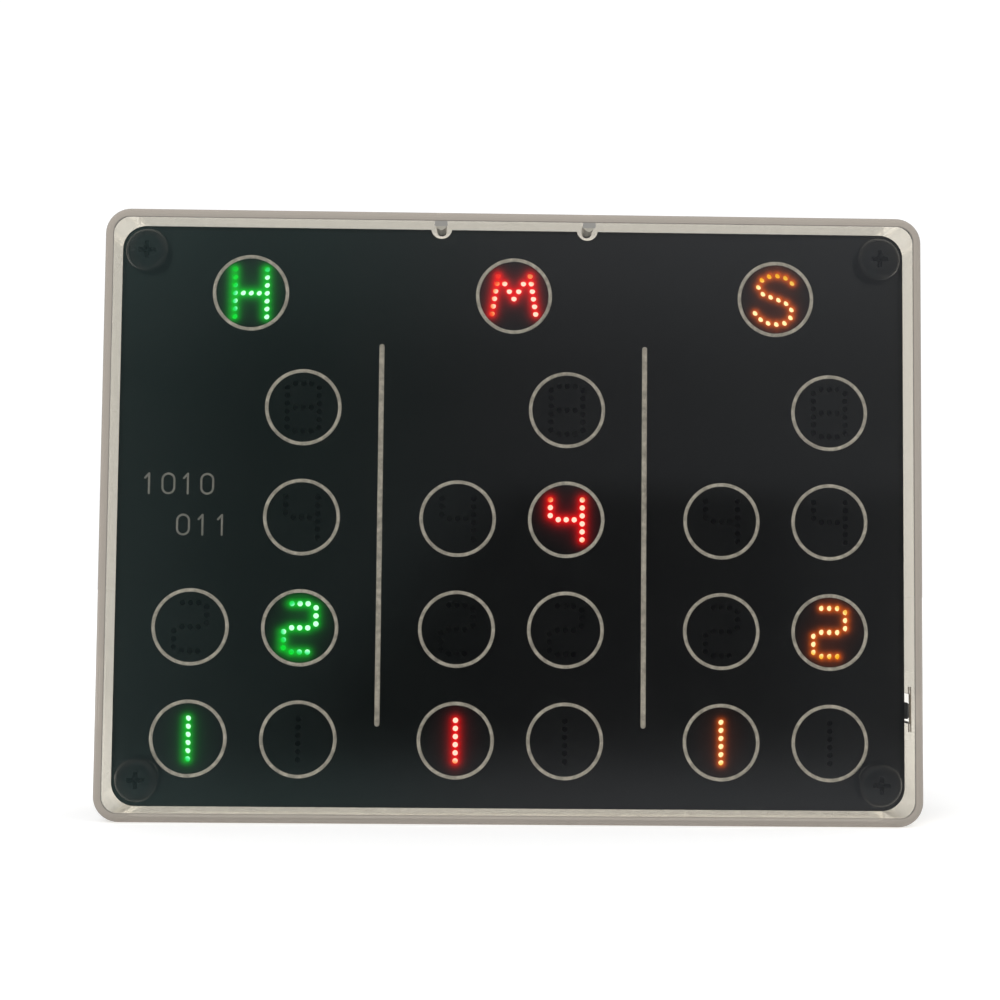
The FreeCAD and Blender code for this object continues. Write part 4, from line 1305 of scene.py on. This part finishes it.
def room_colour(tree):
    """What reflections see: a dim cool room ahead, darker at its middle, and white behind."""
    def smooth(value, low, high):
        return spread(value, 0, 1, low, high, "SMOOTHSTEP")

    # The room ahead, as places across and up on a plane.
    x, y, z = parts_of(new_node(tree, "TexCoord", "Generated"))
    ahead = (y * -1).at_least(0.05)
    u, v = x / ahead, z / ahead
    tone = DIM_ROOM
    for share, level in ((smooth(u * -1, 0.13, 0.27), 0.11), (smooth(v, 0.12, 0.26), 0.14),
                         (spread(u, 0, 1, -0.02, 0.27), 0.08), (smooth(v * -1, 0.10, 0.16), 0.14)):
        tone = share * level + tone
    dark = (1 - smooth(v, 0.045, 0.075)) * (1 - smooth(v * -1, 0.085, 0.14))
    dark = dark * smooth(u - v * 0.85, -0.08, 0.01) * (1 - smooth(u, 0.17, 0.26) * 0.4)
    tint = blend(smooth(u, -0.14, 0.05), (0.64, 1.0, 1.03), (0.93, 1.0, 1.12))
    tint = blend(smooth(abs(u), 0.25, 0.36), tint, (0.92, 0.97, 1.0))
    return blend(smooth(y + z * 0.8, -0.8, 0.4), scaled(tint, tone * (1 - dark * 0.62)), BEHIND)


def make_world():
    """White to the eye and through clear plastic, and a dim room ahead in reflections."""
    world = bpy.data.worlds.new("studio")
    bpy.context.scene.world = world
    world.use_nodes = True
    tree = world.node_tree
    tree.nodes.clear()

    def background(colour, strength):
        return new_node(tree, "Background", 0, {0: colour, 1: strength})

    matt = path(tree, "Diffuse Depth").maths("GREATER_THAN", 0.5)
    clear = path(tree, "Is Transmission Ray") * unmirrored(tree) * (1 - matt)
    surface = mixed(matt, background(room_colour(tree), 1.0), background(WHITE, AMBIENT))
    surface = mixed(path(tree, "Is Camera Ray").at_least(clear), surface,
                    background(WHITE, SEEN_WHITE))
    feed(tree.nodes.new("ShaderNodeOutputWorld").inputs["Surface"], surface)


def make_sun(name, place, power, width):
    """A lamp that lights surfaces and doesn't show in reflections."""
    data = bpy.data.lights.new(name, "SUN")
    data.energy = power
    data.angle = math.radians(width)
    lamp = bpy.data.objects.new(name, data)
    bpy.context.scene.collection.objects.link(lamp)
    lamp.location = place
    lamp.rotation_mode = "QUATERNION"
    lamp.rotation_quaternion = (CASE_MIDDLE - Vector(place)).to_track_quat("-Z", "Y")
    lamp.visible_glossy = False
    lamp.visible_transmission = False


def make_camera():
    """The camera, at the place and angle from which the clock is seen."""
    heading, pitch, roll = map(math.radians, CAMERA_ANGLES)
    forward = Vector((-math.sin(heading) * math.cos(pitch),
                      math.cos(heading) * math.cos(pitch), math.sin(pitch)))
    level = forward.cross(Vector((0, 0, 1))).normalized()
    square = level.cross(forward)
    right = level * math.cos(roll) + square * math.sin(roll)
    up = square * math.cos(roll) - level * math.sin(roll)
    data = bpy.data.cameras.new("camera")
    data.sensor_width = CAMERA_SENSOR
    data.lens = CAMERA_LENS
    data.clip_start = CAMERA_START
    camera = bpy.data.objects.new("camera", data)
    bpy.context.scene.collection.objects.link(camera)
    camera.matrix_world = Matrix.Translation(CAMERA_PLACE) @ Matrix(
        (right, up, -forward)).transposed().to_4x4()
    bpy.context.scene.camera = camera


# ---------------------------------------------------------------- build
def add_piece(made, slot, *materials):
    """Gives a new piece its finishes. The slot is not used. It stays with the case."""
    for material in materials:
        made.data.materials.append(material)
    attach(made, "case")
    return made


def build():
    """Everything round the CAD nodes, and their finishes."""
    tin = plain_finish("tinned_leads", (0.42, 0.41, 0.40), (0.58, 0.57, 0.55), (0.28, 0.45), 0.5,
                       metal=1.0)
    trace = plain_finish("tinned_trace", (0.40, 0.385, 0.36), (0.74, 0.725, 0.68), (0.35, 0.6),
                         0.7, metal=0.12, depth=0.02, grain=0.35)
    dress_all(tin)
    board = add_piece(make_display_board(), "display_mask", front_mask())
    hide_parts("display_board")
    add_piece(make_rings(), "steel", trace)
    add_piece(make_separators(), "steel", trace)
    add_piece(make_digits(), "steel", plain_finish("printed_digits", (0.24, 0.245, 0.24),
                                                   (0.32, 0.325, 0.32), (0.5, 0.7), 0.8))
    cup = milky()
    for group, light in LIGHTS.items():
        name = group.replace("_leds", "_diffusers")
        add_piece(make_diffusers(group, name), light["slot"], cup)
    pads, tracks, vias, marks = make_board_back()
    add_piece(pads, "steel", tin)
    add_piece(tracks, "board_mask", black_mask("mask_on_copper", (0.012, 0.013, 0.014),
                                               (0.019, 0.020, 0.021)))
    add_piece(vias, "steel", tin)
    add_piece(marks, "board_mask", plain_finish("printed_marks", (0.42, 0.42, 0.41),
                                                (0.56, 0.56, 0.55), (0.5, 0.7), 0.6))
    add_piece(make_pins(), "steel", tin)
    # The screws' second finish is painted shade: a darker black in their cross recesses.
    screws = add_piece(
        make_screws(), "black_screw",
        plain_finish("black_oxide", (0.003, 0.004, 0.005), (0.006, 0.007, 0.009), (0.15, 0.22),
                     1.2),
        plain_finish("recess_painted_shade", (0.0010, 0.0010, 0.0012), (0.0020, 0.0020, 0.0022),
                     (0.8, 0.95), 0.8))
    paint_recess_shade(screws)
    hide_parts("corner_screws")
    inserts = add_piece(make_inserts(), "brass", plain_finish(
        "turned_brass", (0.55, 0.40, 0.16), (0.74, 0.56, 0.27), (0.22, 0.38), 0.8, metal=1.0,
        stretch=(1, 6, 1)))
    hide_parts("threaded_inserts")
    make_floor()
    make_world()
    make_sun("key_sun", (-0.5, -0.6, 1.2), 1.1, 40)
    make_sun("fill_sun", (0.8, 0.5, 1.0), 0.5, 60)
    make_camera()
    bpy.context.scene.view_settings.view_transform = "Standard"


build()
